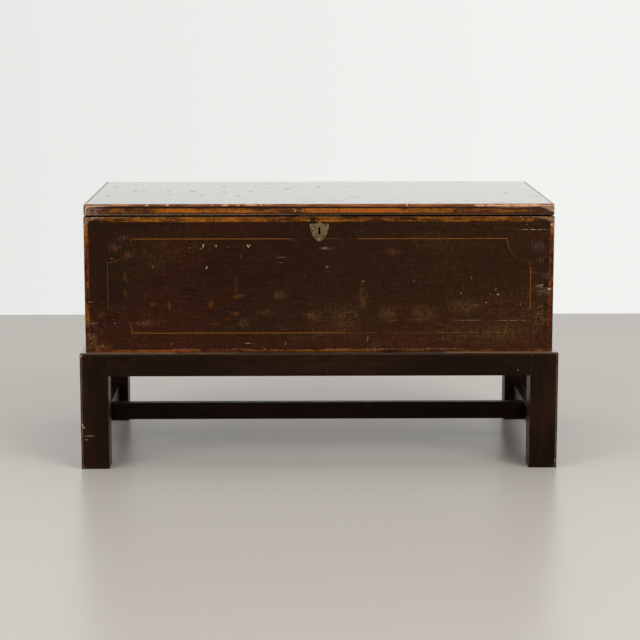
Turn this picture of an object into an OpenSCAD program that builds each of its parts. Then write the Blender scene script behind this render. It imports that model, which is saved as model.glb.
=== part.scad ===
// A painted wooden box with a flush hinged lid, standing loose on a low joined stand.
// The origin is on the floor under the middle of the stand. The front faces -Y and +Z is up.
// Lengths are in millimetres and angles in degrees.

/* [Box] */
// Width of the box and of its lid
box_w = 830; // [700:1:1000]
// Depth of the box and of its lid, front to back
box_d = 440; // [360:1:560]
// Height of the box's boards, without the lid
box_h = 241; // [200:1:320]
// Thickness of the four boards of the box
board_t = 18; // [16:0.5:22]
// Thickness of the bottom boards
bottom_t = 13; // [10:0.5:16]
// Width of the rebate that takes the bottom boards
rebate_w = 9; // [6:0.5:11]
// Radius of the upright outer corners of the box
box_corner_r = 2.5; // [1:0.1:4]
// Radius of the outer arris along the box's rim
rim_arris_r = 0.8; // [0.4:0.1:1.5]
// Radius of the outer arris along the box's foot
box_foot_r = 1.5; // [0.5:0.1:3]

/* [Dovetails] */
// Number of tails at each corner of the box
tail_count = 6; // [3:1:9]
// Width of a pin between two tails, at the inner face of the board
pin_w = 14; // [8:0.5:20]
// Sideways spread of a tail for each millimetre of its length
tail_slope = 0.14; // [0.08:0.01:0.2]
// Glue gap round the wooden joints
joint_gap = 0.1; // [0.05:0.05:0.3]

/* [Lid] */
// Thickness of the lid's boards
lid_t = 20; // [18:0.5:26]
// Gap between the rim of the box and the lid
lid_gap = 2.5; // [2.2:0.1:3]
// Distance of the joint between the lid's two boards behind the middle
lid_joint_y = 24; // [0:1:40]
// Radius of the lid's upright corners, more worn than the box's
lid_corner_r = 7; // [2:0.1:9]
// Radius of the arris round the lid's top
lid_top_r = 3; // [1:0.1:4]
// Radius of the arris round the lid's underside
lid_foot_r = 1; // [0.5:0.1:2]
// Height of the strip above the scratched line round the lid's edge
lid_strip_h = 4.4; // [4:0.1:6]
// Width of the scratched line round the lid's edge
lid_line_w = 1.4; // [0.8:0.1:2]
// Depth of the scratched line round the lid's edge
lid_line_depth = 0.7; // [0.3:0.1:1]

/* [Battens] */
// Width of a batten under the lid
lid_batten_w = 44; // [30:1:60]
// Height of a batten under the lid
lid_batten_h = 18; // [14:0.5:24]
// Distance of a lid batten's middle from the side board
lid_batten_inset = 112; // [60:1:180]
// Gap between the ends of a lid batten and the box's boards
lid_batten_gap = 6; // [4:0.5:12]
// Length of the bevel on the ends of a lid batten
lid_batten_bevel = 10; // [4:0.5:14]
// Height left at the bevelled ends of a lid batten
lid_batten_nose = 4; // [2:0.5:8]
// Width of a batten under the box's bottom
foot_batten_w = 50; // [30:1:70]
// Height of a batten under the box's bottom
foot_batten_h = 16; // [12:0.5:24]
// Distance of a bottom batten's middle from the side board
foot_batten_inset = 132; // [80:1:180]
// Gap between a bottom batten and the stand's rails
foot_batten_gap = 3; // [2:0.5:6]
// Distance of a batten's end screws from the box's boards
batten_screw_inset = 49; // [30:1:60]

/* [Stand] */
// Height of the stand
stand_h = 210; // [160:1:300]
// Width of the stand's ledge beside the box
side_ledge = 10; // [6:0.5:14]
// Width of the stand's ledge before and behind the box
front_ledge = 12; // [6:0.5:14]
// Side of a square leg
leg_side = 50; // [44:1:60]
// Height of the rails between the tops of the legs
rail_h = 42; // [36:1:60]
// Thickness of the rails
rail_t = 28; // [22:1:32]
// Height of the stretchers
stretcher_h = 32; // [24:1:40]
// Thickness of the stretchers
stretcher_t = 18; // [14:0.5:24]
// Height of the stretchers' lower edges above the floor
stretcher_z = 43; // [30:1:70]
// Radius of the upright outer corners of the stand
stand_corner_r = 3; // [1:0.1:4]
// Radius of the arris round the top of the stand
stand_top_r = 3.5; // [1:0.1:5]
// Radius of the arris round the feet, and along the edges of the rails and stretchers
stand_edge_r = 1.5; // [0.5:0.1:2.5]

/* [Tenons] */
// Thickness of the rails' tenons
rail_tenon_t = 10; // [7:0.5:12]
// Shoulder above and below a tenon
tenon_shoulder = 6; // [4:0.5:8]
// Thickness of the stretchers' tenons
stretcher_tenon_t = 8; // [5:0.5:10]
// Length of the side stretchers' tenons into the legs
stretcher_tenon_l = 25; // [15:0.5:30]
// Length of the cross stretcher's tenons into the side stretchers
cross_tenon_l = 11; // [6:0.5:12]

/* [Hinges] */
// Length of a hinge
hinge_l = 64; // [50:1:80]
// Distance of a hinge's middle from the end of the box
hinge_inset = 145; // [80:1:200]
// Thickness of a hinge leaf
leaf_t = 1.6; // [1.3:0.1:2]
// Width of the wood left between a hinge leaf and the inside of the box
leaf_margin = 1.5; // [1:0.1:2.5]
// Gap between the two closed leaves
leaf_gap = 0.3; // [0.2:0.05:0.5]
// Radius of the hinge's barrel
barrel_r = 3.2; // [3:0.1:3.4]
// Number of knuckles on a hinge
knuckle_count = 5; // [3:2:7]
// Gap between two knuckles
knuckle_gap = 0.3; // [0.2:0.05:0.5]
// Radius of the hinge's pin
hinge_pin_r = 1.5; // [1.2:0.05:1.8]
// Running clearance of the pin in its knuckles
pin_clearance = 0.05; // [0.02:0.01:0.1]
// Radius of the pin's two heads
pin_head_r = 2.3; // [2:0.1:2.8]
// Thickness of the pin's heads
pin_head_t = 0.9; // [0.6:0.1:1.2]
// Distance of a hinge's end screws from its ends
hinge_screw_inset = 9; // [6:0.5:12]
// Distance of the pin's axis inside the back face of the box
axis_inset = 4; // [3.9:0.1:5]
// Gap between a barrel and the wood round it
barrel_relief = 0.5; // [0.3:0.1:0.8]
// Angle at which the bevelled back edges of the box and the lid meet
stop_angle = 101.5; // [95:0.5:110]

/* [Lock] */
// Width of the lock's plate
lock_plate_w = 76; // [74:1:90]
// Height of the lock's plate below the rim
lock_plate_h = 37; // [36:0.5:42]
// Thickness of the lock's plate and of the selvedge along the rim
lock_plate_t = 2; // [1.5:0.1:2.5]
// Depth of the lock's case in front of its plate
lock_case_d = 10.5; // [9.6:0.1:11]
// Width of the lock's case
lock_case_w = 63; // [62:0.5:64]
// Thickness of the case's sheet
lock_case_t = 1.5; // [1:0.1:1.8]
// Distance of the two link loops from the middle of the lock
link_x = 14; // [13.5:0.1:14.5]
// Width of a link loop's bar, along the box
link_t = 3; // [2.4:0.1:3.2]
// Breadth of a link loop, front to back
link_w = 6; // [5.6:0.1:7]
// Depth to which the link loops hang below the rim
link_drop = 12.5; // [12:0.1:13]
// Wall of a link loop round its eye
link_wall = 1.3; // [1:0.05:1.6]
// Thickness of the lock's bolt
bolt_t = 2.6; // [2:0.1:2.8]
// Height of the bolt's bar
bolt_bar_h = 5; // [4:0.1:5.4]
// Travel of the bolt
bolt_throw = 8; // [6:0.1:8]
// Length of a bolt hook's nose
nose_l = 7; // [6:0.1:7.2]
// Height of a bolt hook's nose
nose_h = 5; // [4:0.1:5.4]
// Width of the notch in which the key pushes the bolt
talon_w = 6; // [4:0.5:8]
// Height of the notch in which the key pushes the bolt
talon_h = 2.5; // [1.5:0.1:3]
// Thickness of a bolt hook's upright
hook_post_t = 4; // [3:0.1:4]
// Gap between a hook's nose and its link loop when the bolt is drawn back
nose_gap = 1.5; // [1.2:0.1:1.6]
// Width of a guide of the bolt
guide_w = 5; // [3:0.5:6]
// Height of a guide's ledge below the bolt
guide_ledge_h = 2.5; // [1.5:0.1:3]
// Radius of the pin on which the hollow key turns
drill_pin_r = 1.4; // [1:0.1:1.6]
// Distance of the plate's screws from its foot and from the selvedge
lock_screw_inset = 6; // [5:0.5:9]
// Width of the link plate under the lid, along the box
link_plate_w = 72; // [66:1:80]
// Depth of the link plate, front to back
link_plate_d = 11; // [9:0.5:12]
// Distance of the link plate's screws from the middle of the lock
link_screw_x = 27; // [22:0.5:29]
// Clearance of the bolt in its guides, and of the lid's plate on the selvedge
lock_clearance = 0.2; // [0.1:0.05:0.3]
// Clearance round a link loop in its slot
link_slot_gap = 0.8; // [0.6:0.1:1]

/* [Escutcheon] */
// Width of the shield
shield_w = 33; // [28:0.5:36]
// Height of the shield, from its ears to its tip
shield_h = 31.4; // [29:0.1:34]
// Rise of the shield's middle peak above its ears
shield_peak_h = 3.6; // [2:0.1:4]
// Radius of the peak's rounded top
shield_peak_r = 3.4; // [2:0.1:5]
// Depth of the shield's ears below the rim
shield_drop = 12.5; // [11:0.1:15]
// Radius of the shield's sides
shield_side_r = 36.4; // [36:0.1:44]
// Straight part of the shield's sides below its ears
shield_ear_h = 2.5; // [1:0.1:4]
// Radius of the hollows beside the peak
shield_hollow_r = 6; // [4.2:0.1:8]
// Radius of the rounded corners of the ears
shield_ear_r = 1.3; // [0.5:0.1:2]
// Thickness of the shield's sheet
shield_t = 1.5; // [1:0.1:2]
// Depth of the keyhole's round head below the rim
keyhole_drop = 20.5; // [20:0.1:21]
// Radius of the keyhole's round head
keyhole_r = 2.6; // [2:0.1:2.8]
// Length of the keyhole's slot below the middle of its head
keyhole_l = 10.6; // [8:0.1:11.5]
// Width of the slot at its foot
keyhole_foot_w = 5.4; // [4:0.1:6]
// Width of the slot at its head
keyhole_neck_w = 3.2; // [2:0.1:3.6]
// Width of the raised rim round the keyhole
keyhole_rim_w = 1.1; // [0.8:0.1:1.5]
// Height of the raised rim round the keyhole
keyhole_rim_h = 0.5; // [0.3:0.1:0.8]

/* [Fasteners] */
// Radius of a screw's shank
screw_r = 1.5; // [1.2:0.1:1.8]
// Radius of a screw's countersunk head
screw_head_r = 2.8; // [2.4:0.1:3]
// Width of the slot in a screw's head
screw_slot_w = 0.8; // [0.5:0.1:1]
// Depth of the slot in a screw's head
screw_slot_depth = 0.7; // [0.4:0.1:0.8]
// Length of a hinge screw in the box
hinge_screw_l = 20; // [14:1:24]
// Length of a screw into the lid, from the face that it lies in
lid_screw_l = 13; // [10:0.5:16]
// Depth to which a batten's screws reach into the boards
batten_screw_bite = 9; // [6:0.5:9.5]
// Length of a lock screw
lock_screw_l = 12; // [8:0.5:14]
// Radius of an escutcheon pin's domed head
esc_pin_head_r = 1.5; // [1.2:0.1:1.6]
// Height of an escutcheon pin's head
esc_pin_head_h = 0.8; // [0.5:0.1:1]
// Radius of an escutcheon pin's shank
esc_pin_r = 0.7; // [0.5:0.05:0.9]
// Distance of the upper escutcheon pins from the shield's sides
esc_pin_inset = 4.6; // [3.5:0.1:6]
// Height of the lower escutcheon pin above the shield's tip
esc_pin_rise = 4; // [3:0.1:6]
// Wood left between the escutcheon pins and the lock's case
esc_pin_margin = 0.8; // [0.5:0.1:1.5]

/* [Hidden] */
$fn = 64;
// How far one piece of a solid runs into the next, and how far a cut runs past its face
overlap = 0.05;
cut_margin = 1;
// Steps in each of the four arcs of the shield's peak
peak_steps = 6;
stand_w = box_w + 2 * side_ledge;
stand_d = box_d + 2 * front_ledge;
rim_z = stand_h + box_h;
lid_z = rim_z + lid_gap;
lid_top_z = lid_z + lid_t;
inner_w = box_w - 2 * board_t;
inner_d = box_d - 2 * board_t;
front_face_y = -box_d / 2;
front_inner_y = front_face_y + board_t;
lid_batten_x = inner_w / 2 - lid_batten_inset;
foot_batten_x = inner_w / 2 - foot_batten_inset;
// Dovetails
tail_pitch = box_h / tail_count;
tail_root_w = tail_pitch - pin_w;
tail_end_w = tail_root_w + 2 * board_t * tail_slope;
// Stand joints
leg_x = (stand_w - leg_side) / 2;
leg_y = (stand_d - leg_side) / 2;
between_legs_x = stand_w - 2 * leg_side;
between_legs_y = stand_d - 2 * leg_side;
rail_z = stand_h - rail_h;
tenon_spacing = 1;
rail_tenon_l = leg_side - (rail_t + rail_tenon_t) / 2 - tenon_spacing;
rail_y = (stand_d - rail_t) / 2;
rail_x = (stand_w - rail_t) / 2;
// Hinges
hinge_x = box_w / 2 - hinge_inset;
axis_y = box_d / 2 - axis_inset;
axis_z = rim_z + lid_gap / 2;
knuckle_pitch = hinge_l / knuckle_count;
bevel_slope = tan(stop_angle / 2);
leaf_w = board_t - axis_inset - leaf_margin;
hinge_screw_row = (leaf_w + barrel_r + barrel_relief) / 2;
// Lock
lock_plate_y = front_inner_y;
case_y = lock_plate_y - lock_plate_t - lock_case_d;
link_y = lock_plate_y - lock_plate_t - (lock_case_d - lock_case_t) / 2;
selvedge_top_z = lid_z - lock_plate_t - lock_clearance;
selvedge_z = selvedge_top_z - lock_plate_t;
lock_plate_z = rim_z - lock_plate_h;
link_low_z = rim_z - link_drop;
eye_w = link_w - 2 * link_wall;
eye_h = nose_h + 4 * lock_clearance;
eye_z = link_low_z + link_wall;
nose_z = eye_z + 2 * lock_clearance;
bolt_top_z = link_low_z - 2 * lock_clearance;
bolt_z = bolt_top_z - bolt_bar_h;
hook_back_x = -link_t / 2 - nose_gap - nose_l - hook_post_t;
lock_screw_x = (lock_plate_w + lock_case_w) / 4;
lock_screw_z = [selvedge_z - lock_screw_inset, lock_plate_z + lock_screw_inset];
keyhole_z = rim_z - keyhole_drop;
// Escutcheon
ear_z = rim_z - shield_drop;
side_z = ear_z - shield_ear_h;
side_x = shield_side_r - shield_w / 2;
tip_z = ear_z - shield_h;
tip_fall = side_z - tip_z;
tip_r = (side_x * side_x + tip_fall * tip_fall - shield_side_r * shield_side_r)
    / (2 * (tip_fall - shield_side_r));
tip_centre_z = tip_z + tip_r;
tip_meet_z = tip_centre_z - tip_r * (side_z - tip_centre_z) / (shield_side_r - tip_r);
peak_arcs_r = shield_peak_r + shield_hollow_r;
peak_reach = sqrt(shield_peak_h * (2 * peak_arcs_r - shield_peak_h));
peak_turn = asin(peak_reach / peak_arcs_r);
esc_pin_x = shield_w / 2 - esc_pin_inset;
esc_pin_places = [[-esc_pin_x, keyhole_z], [esc_pin_x, keyhole_z], [0, tip_z + esc_pin_rise]];
esc_pin_l = case_y - front_face_y + shield_t - esc_pin_margin;

// Outlines

module rounded_rect(w, h, r) {
    square([w - 2 * r, h], center = true);
    square([w, h - 2 * r], center = true);
    for (sx = [-1, 1], sy = [-1, 1])
        translate([sx * (w / 2 - r), sy * (h / 2 - r)]) circle(r);
}

// An upright outline standing on the origin, with its top and bottom corners eased
module elevation(w, h, top_r, foot_r) {
    translate([-w / 2, foot_r]) square([w, h - top_r - foot_r]);
    translate([-w / 2 + top_r, h / 2]) square([w - 2 * top_r, h / 2]);
    translate([-w / 2 + foot_r, 0]) square([w - 2 * foot_r, h / 2]);
    for (s = [-1, 1]) {
        translate([s * (w / 2 - top_r), h - top_r]) circle(top_r);
        translate([s * (w / 2 - foot_r), foot_r]) circle(foot_r);
    }
}

// A block with eased outer edges, standing at height z
module eased_block(w, d, h, z, corner_r, top_r, foot_r) {
    translate([0, 0, z]) intersection() {
        linear_extrude(h) rounded_rect(w, d, corner_r);
        rotate([90, 0, 0]) linear_extrude(d, center = true) elevation(w, h, top_r, foot_r);
        rotate([90, 0, 90]) linear_extrude(w, center = true) elevation(d, h, top_r, foot_r);
    }
}

// A board's blank, given by its lowest corner and its size
module blank(low, size) {
    translate(low) cube(size);
}

// A bar along X or Y with eased long edges, centred on x and y
module eased_bar(along, length, t, h, x, y, z) {
    translate([x, y, z + h / 2]) rotate(along == "x" ? [90, 0, 90] : [90, 0, 0])
        linear_extrude(length, center = true) rounded_rect(t, h, stand_edge_r);
}

module keyhole_outline(grow) {
    circle(keyhole_r + grow);
    polygon([
        [-keyhole_neck_w / 2 - grow, 0],
        [keyhole_neck_w / 2 + grow, 0],
        [keyhole_foot_w / 2 + grow, -keyhole_l - grow],
        [-keyhole_foot_w / 2 - grow, -keyhole_l - grow]
    ]);
}

// The keyhole cut through everything between two depths
module keyhole_cut(from_y, to_y) {
    translate([0, to_y, keyhole_z]) rotate([90, 0, 0]) linear_extrude(to_y - from_y) keyhole_outline(0);
}

// Screws: the head lies flush at the origin and the shank runs along +Z

module screw_body(length) {
    rotate_extrude() polygon([
        [0, 0],
        [screw_head_r, 0],
        [screw_r, screw_head_r - screw_r],
        [screw_r, length],
        [0, length]
    ]);
}

module screw(length) {
    difference() {
        screw_body(length);
        translate([-screw_head_r, -screw_slot_w / 2, -overlap])
            cube([2 * screw_head_r, screw_slot_w, screw_slot_depth + overlap]);
    }
}

// Puts its children at each screw of a hinge's two sides, on the box (way -1) or in the lid (way 1)
module at_hinge_screws(way) {
    face_z = axis_z + way * leaf_gap / 2;
    pitch = hinge_l / 2 - hinge_screw_inset;
    for (side = [-1, 1], k = [-1, 0, 1])
        translate([side * hinge_x + k * pitch, axis_y - hinge_screw_row, face_z])
            rotate([way < 0 ? 180 : 0, 0, 0]) children();
}

// Four places in a row along each of the two battens, with their screw heads at height z
module at_batten_screws(x, z) {
    pitch = (inner_d - 2 * batten_screw_inset) / 3;
    for (side = [-1, 1], row = [-1.5 : 1 : 1.5])
        translate([side * x, row * pitch, z]) children();
}

module at_lid_batten_screws() {
    at_batten_screws(lid_batten_x, lid_z - lid_batten_h) children();
}

module at_foot_batten_screws() {
    at_batten_screws(foot_batten_x, stand_h - foot_batten_h) children();
}

module at_lock_screws() {
    for (side = [-1, 1], z = lock_screw_z)
        translate([side * lock_screw_x, lock_plate_y, z]) rotate([90, 0, 0]) children();
}

module at_link_screws() {
    for (side = [-1, 1])
        translate([side * link_screw_x, link_y, lid_z - lock_plate_t]) children();
}

// Stand

module stand_form() {
    eased_block(stand_w, stand_d, stand_h, 0, stand_corner_r, stand_top_r, stand_edge_r);
}

// Tenons of a rail or stretcher, both ends in one bar. Grown by a gap they are the mortises.
module tenon_bar(along, shoulders, tenon_l, t, h, x, y, z, gap) {
    length = shoulders + 2 * tenon_l;
    size = along == "x" ? [length, t, h - 2 * tenon_shoulder] : [t, length, h - 2 * tenon_shoulder];
    grown = [size[0] + 2 * gap, size[1] + 2 * gap, size[2] + 2 * gap];
    translate([x, y, z + h / 2]) cube(grown, center = true);
}

module rail_x_tenons(side, gap) {
    tenon_bar("x", between_legs_x, rail_tenon_l, rail_tenon_t, rail_h, 0, side * rail_y, rail_z, gap);
}

module rail_y_tenons(side, gap) {
    tenon_bar("y", between_legs_y, rail_tenon_l, rail_tenon_t, rail_h, side * rail_x, 0, rail_z, gap);
}

module stretcher_tenons(side, gap) {
    tenon_bar("y", between_legs_y, stretcher_tenon_l, stretcher_tenon_t, stretcher_h,
        side * leg_x, 0, stretcher_z, gap);
}

module cross_tenons(gap) {
    tenon_bar("x", 2 * leg_x - stretcher_t, cross_tenon_l, stretcher_tenon_t, stretcher_h,
        0, 0, stretcher_z, gap);
}

module leg(side, end) {
    color("#241812") difference() {
        intersection() {
            stand_form();
            translate([side * leg_x, end * leg_y, 0])
                linear_extrude(stand_h) rounded_rect(leg_side, leg_side, stand_edge_r / 2);
        }
        rail_x_tenons(end, joint_gap);
        rail_y_tenons(side, joint_gap);
        stretcher_tenons(side, joint_gap);
    }
}

module rail_section() {
    rounded_rect(rail_t, rail_h, stand_edge_r);
    translate([-rail_t / 2, 0]) square([rail_t, rail_h / 2]);
}

module rail_x(side) {
    color("#2a1c14") union() {
        intersection() {
            stand_form();
            translate([0, side * rail_y, rail_z + rail_h / 2]) rotate([90, 0, 90])
                linear_extrude(between_legs_x, center = true) rail_section();
        }
        rail_x_tenons(side, 0);
    }
}

module rail_y(side) {
    color("#2a1c14") union() {
        intersection() {
            stand_form();
            translate([side * rail_x, 0, rail_z + rail_h / 2]) rotate([90, 0, 0])
                linear_extrude(between_legs_y, center = true) rail_section();
        }
        rail_y_tenons(side, 0);
    }
}

module side_stretcher(side) {
    color("#241812") difference() {
        union() {
            eased_bar("y", between_legs_y, stretcher_t, stretcher_h, side * leg_x, 0, stretcher_z);
            stretcher_tenons(side, 0);
        }
        cross_tenons(joint_gap);
    }
}

module cross_stretcher() {
    color("#241812") union() {
        eased_bar("x", 2 * leg_x - stretcher_t, stretcher_t, stretcher_h, 0, 0, stretcher_z);
        cross_tenons(0);
    }
}

// Box

module box_form() {
    eased_block(box_w, box_d, box_h, stand_h, box_corner_r, rim_arris_r, box_foot_r);
}

// Corner points of one tail, seen from the front, from its foot to its top
function tail_points(side, i, gap) =
    let (z = stand_h + tail_pitch * (i + 0.5))
    let (root_x = side * inner_w / 2)
    let (end_x = side * (box_w / 2 + gap))
    [
        [root_x, z - tail_root_w / 2 - gap],
        [end_x, z - tail_end_w / 2 - gap],
        [end_x, z + tail_end_w / 2 + gap],
        [root_x, z + tail_root_w / 2 + gap]
    ];

// The front or back board with its tails, seen from the front
module tailed_outline() {
    right_side = [for (i = [0 : tail_count - 1]) each tail_points(1, i, 0)];
    left_side = [for (i = [tail_count - 1 : -1 : 0], k = [3 : -1 : 0]) tail_points(-1, i, 0)[k]];
    polygon(concat(
        [[-inner_w / 2, stand_h], [inner_w / 2, stand_h]],
        right_side,
        [[inner_w / 2, rim_z], [-inner_w / 2, rim_z]],
        left_side
    ));
}

// The sockets between the pins, which take the tails with the glue gap
module socket_outlines() {
    for (side = [-1, 1], i = [0 : tail_count - 1]) polygon(tail_points(side, i, joint_gap));
}

// The pocket for the bottom boards, open below
module bottom_pocket(gap) {
    translate([0, 0, stand_h - cut_margin]) linear_extrude(bottom_t + cut_margin)
        square([inner_w + 2 * rebate_w - 2 * gap, inner_d + 2 * rebate_w - 2 * gap], center = true);
}

// The bevel along a back edge that ends the lid's swing: below the pin's axis on the box
// (way -1), above it on the lid (way 1)
module back_bevel(way) {
    reach = axis_inset + cut_margin;
    translate([0, axis_y, axis_z]) rotate([90, 0, 90])
        linear_extrude(box_w + 2 * cut_margin, center = true)
        polygon([[0, 0], [reach, 0], [reach, way * reach * bevel_slope]]);
}

// Room for the barrels in the wood
module barrel_cuts() {
    for (side = [-1, 1])
        translate([side * hinge_x, axis_y, axis_z]) rotate([0, 90, 0])
            cylinder(r = barrel_r + barrel_relief, h = hinge_l + 2 * (pin_head_t + barrel_relief),
                center = true);
}

// The recess of the box leaves (way -1) or the lid leaves (way 1)
module leaf_recesses(way) {
    depth = leaf_gap / 2 + leaf_t;
    for (side = [-1, 1])
        blank([side * hinge_x - hinge_l / 2, axis_y - leaf_w, way < 0 ? axis_z - depth : axis_z],
            [hinge_l, leaf_w, depth]);
}

module board_along_x(side) {
    intersection() {
        box_form();
        translate([0, side * (box_d - board_t) / 2, 0]) rotate([90, 0, 0])
            linear_extrude(board_t, center = true) tailed_outline();
    }
}

module front_board() {
    color("#4a2f20") difference() {
        board_along_x(-1);
        bottom_pocket(0);
        lock_mortise();
        keyhole_cut(front_face_y - cut_margin, front_inner_y);
        at_lock_screws() screw_body(lock_screw_l);
        at_escutcheon_pins() cylinder(r = esc_pin_r, h = esc_pin_l);
    }
}

module back_board() {
    color("#3c281c") difference() {
        board_along_x(1);
        bottom_pocket(0);
        back_bevel(-1);
        barrel_cuts();
        leaf_recesses(-1);
        at_hinge_screws(-1) screw_body(hinge_screw_l);
    }
}

module side_board(side) {
    color("#3c281c") difference() {
        intersection() {
            box_form();
            translate([side * (box_w - board_t) / 2, 0, stand_h + box_h / 2])
                cube([board_t, box_d + cut_margin, box_h + cut_margin], center = true);
        }
        for (end = [-1, 1])
            translate([0, end * (box_d - board_t) / 2, 0]) rotate([90, 0, 0])
                linear_extrude(board_t + 2 * joint_gap, center = true) socket_outlines();
        bottom_pocket(0);
        back_bevel(-1);
    }
}

module bottom_board(side) {
    color("#b08a5c") difference() {
        intersection() {
            bottom_pocket(joint_gap);
            translate([0, side * (box_d + joint_gap) / 2, stand_h + bottom_t / 2])
                cube([box_w, box_d, bottom_t], center = true);
        }
        at_foot_batten_screws() screw_body(foot_batten_h + batten_screw_bite);
    }
}

module bottom_battens() {
    length = stand_d - 2 * rail_t - 2 * foot_batten_gap;
    color("#a98456") difference() {
        for (side = [-1, 1])
            translate([side * foot_batten_x, 0, stand_h - foot_batten_h / 2])
                cube([foot_batten_w, length, foot_batten_h], center = true);
        at_foot_batten_screws() screw_body(foot_batten_h + batten_screw_bite);
    }
}

module bottom_batten_screws() {
    color("#6d655a") at_foot_batten_screws() screw(foot_batten_h + batten_screw_bite);
}

// Lid

module lid_form() {
    difference() {
        eased_block(box_w, box_d, lid_t, lid_z, lid_corner_r, lid_top_r, lid_foot_r);
        translate([0, 0, lid_top_z - lid_strip_h - lid_line_w]) linear_extrude(lid_line_w)
            difference() {
                square([box_w + cut_margin, box_d + cut_margin], center = true);
                rounded_rect(box_w - 2 * lid_line_depth, box_d - 2 * lid_line_depth,
                    lid_corner_r - lid_line_depth);
            }
    }
}

module lid_board_front() {
    color("#5b4635") difference() {
        intersection() {
            lid_form();
            blank([-box_w / 2, front_face_y, lid_z],
                [box_w, lid_joint_y - front_face_y - joint_gap / 2, lid_t]);
        }
        at_lid_batten_screws() screw_body(lid_batten_h + batten_screw_bite);
        at_link_screws() screw_body(lid_screw_l);
    }
}

module lid_board_back() {
    color("#5b4635") difference() {
        intersection() {
            lid_form();
            blank([-box_w / 2, lid_joint_y + joint_gap / 2, lid_z], [box_w, box_d / 2, lid_t]);
        }
        back_bevel(1);
        barrel_cuts();
        leaf_recesses(1);
        at_hinge_screws(1) screw_body(lid_screw_l);
        at_lid_batten_screws() screw_body(lid_batten_h + batten_screw_bite);
    }
}

module lid_batten(side) {
    length = inner_d - 2 * lid_batten_gap;
    color("#a98456") difference() {
        translate([side * lid_batten_x, 0, lid_z]) rotate([90, 0, 90])
            linear_extrude(lid_batten_w, center = true) polygon([
                [-length / 2, 0],
                [-length / 2, -lid_batten_nose],
                [-length / 2 + lid_batten_bevel, -lid_batten_h],
                [length / 2 - lid_batten_bevel, -lid_batten_h],
                [length / 2, -lid_batten_nose],
                [length / 2, 0]
            ]);
        at_lid_batten_screws() screw_body(lid_batten_h + batten_screw_bite);
    }
}

module lid_batten_screws() {
    color("#6d655a") at_lid_batten_screws() screw(lid_batten_h + batten_screw_bite);
}

// Hinges: the box leaf holds the odd knuckles and the pin, the lid leaf the even ones

module knuckles(side, first, r, gap) {
    length = knuckle_pitch - knuckle_gap + 2 * gap;
    for (k = [first : 2 : knuckle_count - 1])
        translate([side * hinge_x + (k + 0.5) * knuckle_pitch - hinge_l / 2, axis_y, axis_z])
            rotate([0, 90, 0]) cylinder(r = r, h = length, center = true);
}

module hinge_leaf(side, way) {
    first = way < 0 ? 0 : 1;
    color("#6b5a3c") difference() {
        union() {
            blank([side * hinge_x - hinge_l / 2,
                    axis_y - leaf_w,
                    way < 0 ? axis_z - leaf_gap / 2 - leaf_t : axis_z + leaf_gap / 2],
                [hinge_l, leaf_w, leaf_t]);
            knuckles(side, first, barrel_r, 0);
        }
        knuckles(side, 1 - first, barrel_r + leaf_gap, knuckle_gap);
        translate([side * hinge_x, axis_y, axis_z]) rotate([0, 90, 0])
            cylinder(r = hinge_pin_r + pin_clearance, h = hinge_l + cut_margin, center = true);
        at_hinge_screws(way) screw_body(hinge_screw_l);
    }
}

module hinge_pin(side) {
    color("#8a7448") translate([side * hinge_x, axis_y, axis_z]) rotate([0, 90, 0]) {
        cylinder(r = hinge_pin_r, h = hinge_l + 2 * pin_head_t, center = true);
        for (end = [-1, 1])
            translate([0, 0, end * (hinge_l + pin_head_t) / 2])
                cylinder(r = pin_head_r, h = pin_head_t, center = true);
    }
}

module hinge_box_screws() {
    color("#8a7448") at_hinge_screws(-1) screw(hinge_screw_l);
}

module hinge_lid_screws() {
    color("#8a7448") at_hinge_screws(1) screw(lid_screw_l);
}

// Lock

// The space that the lock takes in the front board
module lock_mortise() {
    high = lock_plate_h + cut_margin;
    deep = lock_case_d + lock_plate_t + cut_margin;
    blank([-lock_case_w / 2, case_y, lock_plate_z], [lock_case_w, deep, high]);
    blank([-lock_plate_w / 2, lock_plate_y - lock_plate_t, lock_plate_z],
        [lock_plate_w, lock_plate_t + cut_margin, high]);
    blank([-lock_plate_w / 2, case_y, selvedge_z], [lock_plate_w, deep, lock_plate_t + cut_margin]);
}

module lock_plate() {
    color("#77694a") difference() {
        union() {
            blank([-lock_plate_w / 2, lock_plate_y - lock_plate_t, lock_plate_z],
                [lock_plate_w, lock_plate_t, selvedge_top_z - lock_plate_z]);
            blank([-lock_plate_w / 2, case_y, selvedge_z],
                [lock_plate_w, lock_case_d + lock_plate_t, lock_plate_t]);
            for (x = [-link_x + nose_gap + link_t, link_x + nose_gap + link_t]) bolt_guide(x);
            translate([0, lock_plate_y - lock_plate_t, keyhole_z]) rotate([90, 0, 0])
                cylinder(r = drill_pin_r, h = lock_case_d - lock_case_t);
        }
        for (side = [-1, 1])
            translate([side * link_x, link_y, selvedge_z + lock_plate_t / 2])
                cube([link_t + 2 * link_slot_gap, link_w + 2 * link_slot_gap, 2 * lock_plate_t],
                    center = true);
        at_lock_screws() screw_body(lock_screw_l);
    }
}

// A bracket of the plate that carries the bolt's bar from behind and from below
module bolt_guide(x) {
    plate_y = lock_plate_y - lock_plate_t + overlap;
    back_y = link_y + bolt_t / 2 + lock_clearance;
    front_y = link_y - bolt_t / 2;
    ledge_h = guide_ledge_h - lock_clearance;
    blank([x, back_y, bolt_z - guide_ledge_h], [guide_w, plate_y - back_y, ledge_h + bolt_bar_h]);
    blank([x, front_y, bolt_z - guide_ledge_h], [guide_w, plate_y - front_y, ledge_h]);
}

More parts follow.
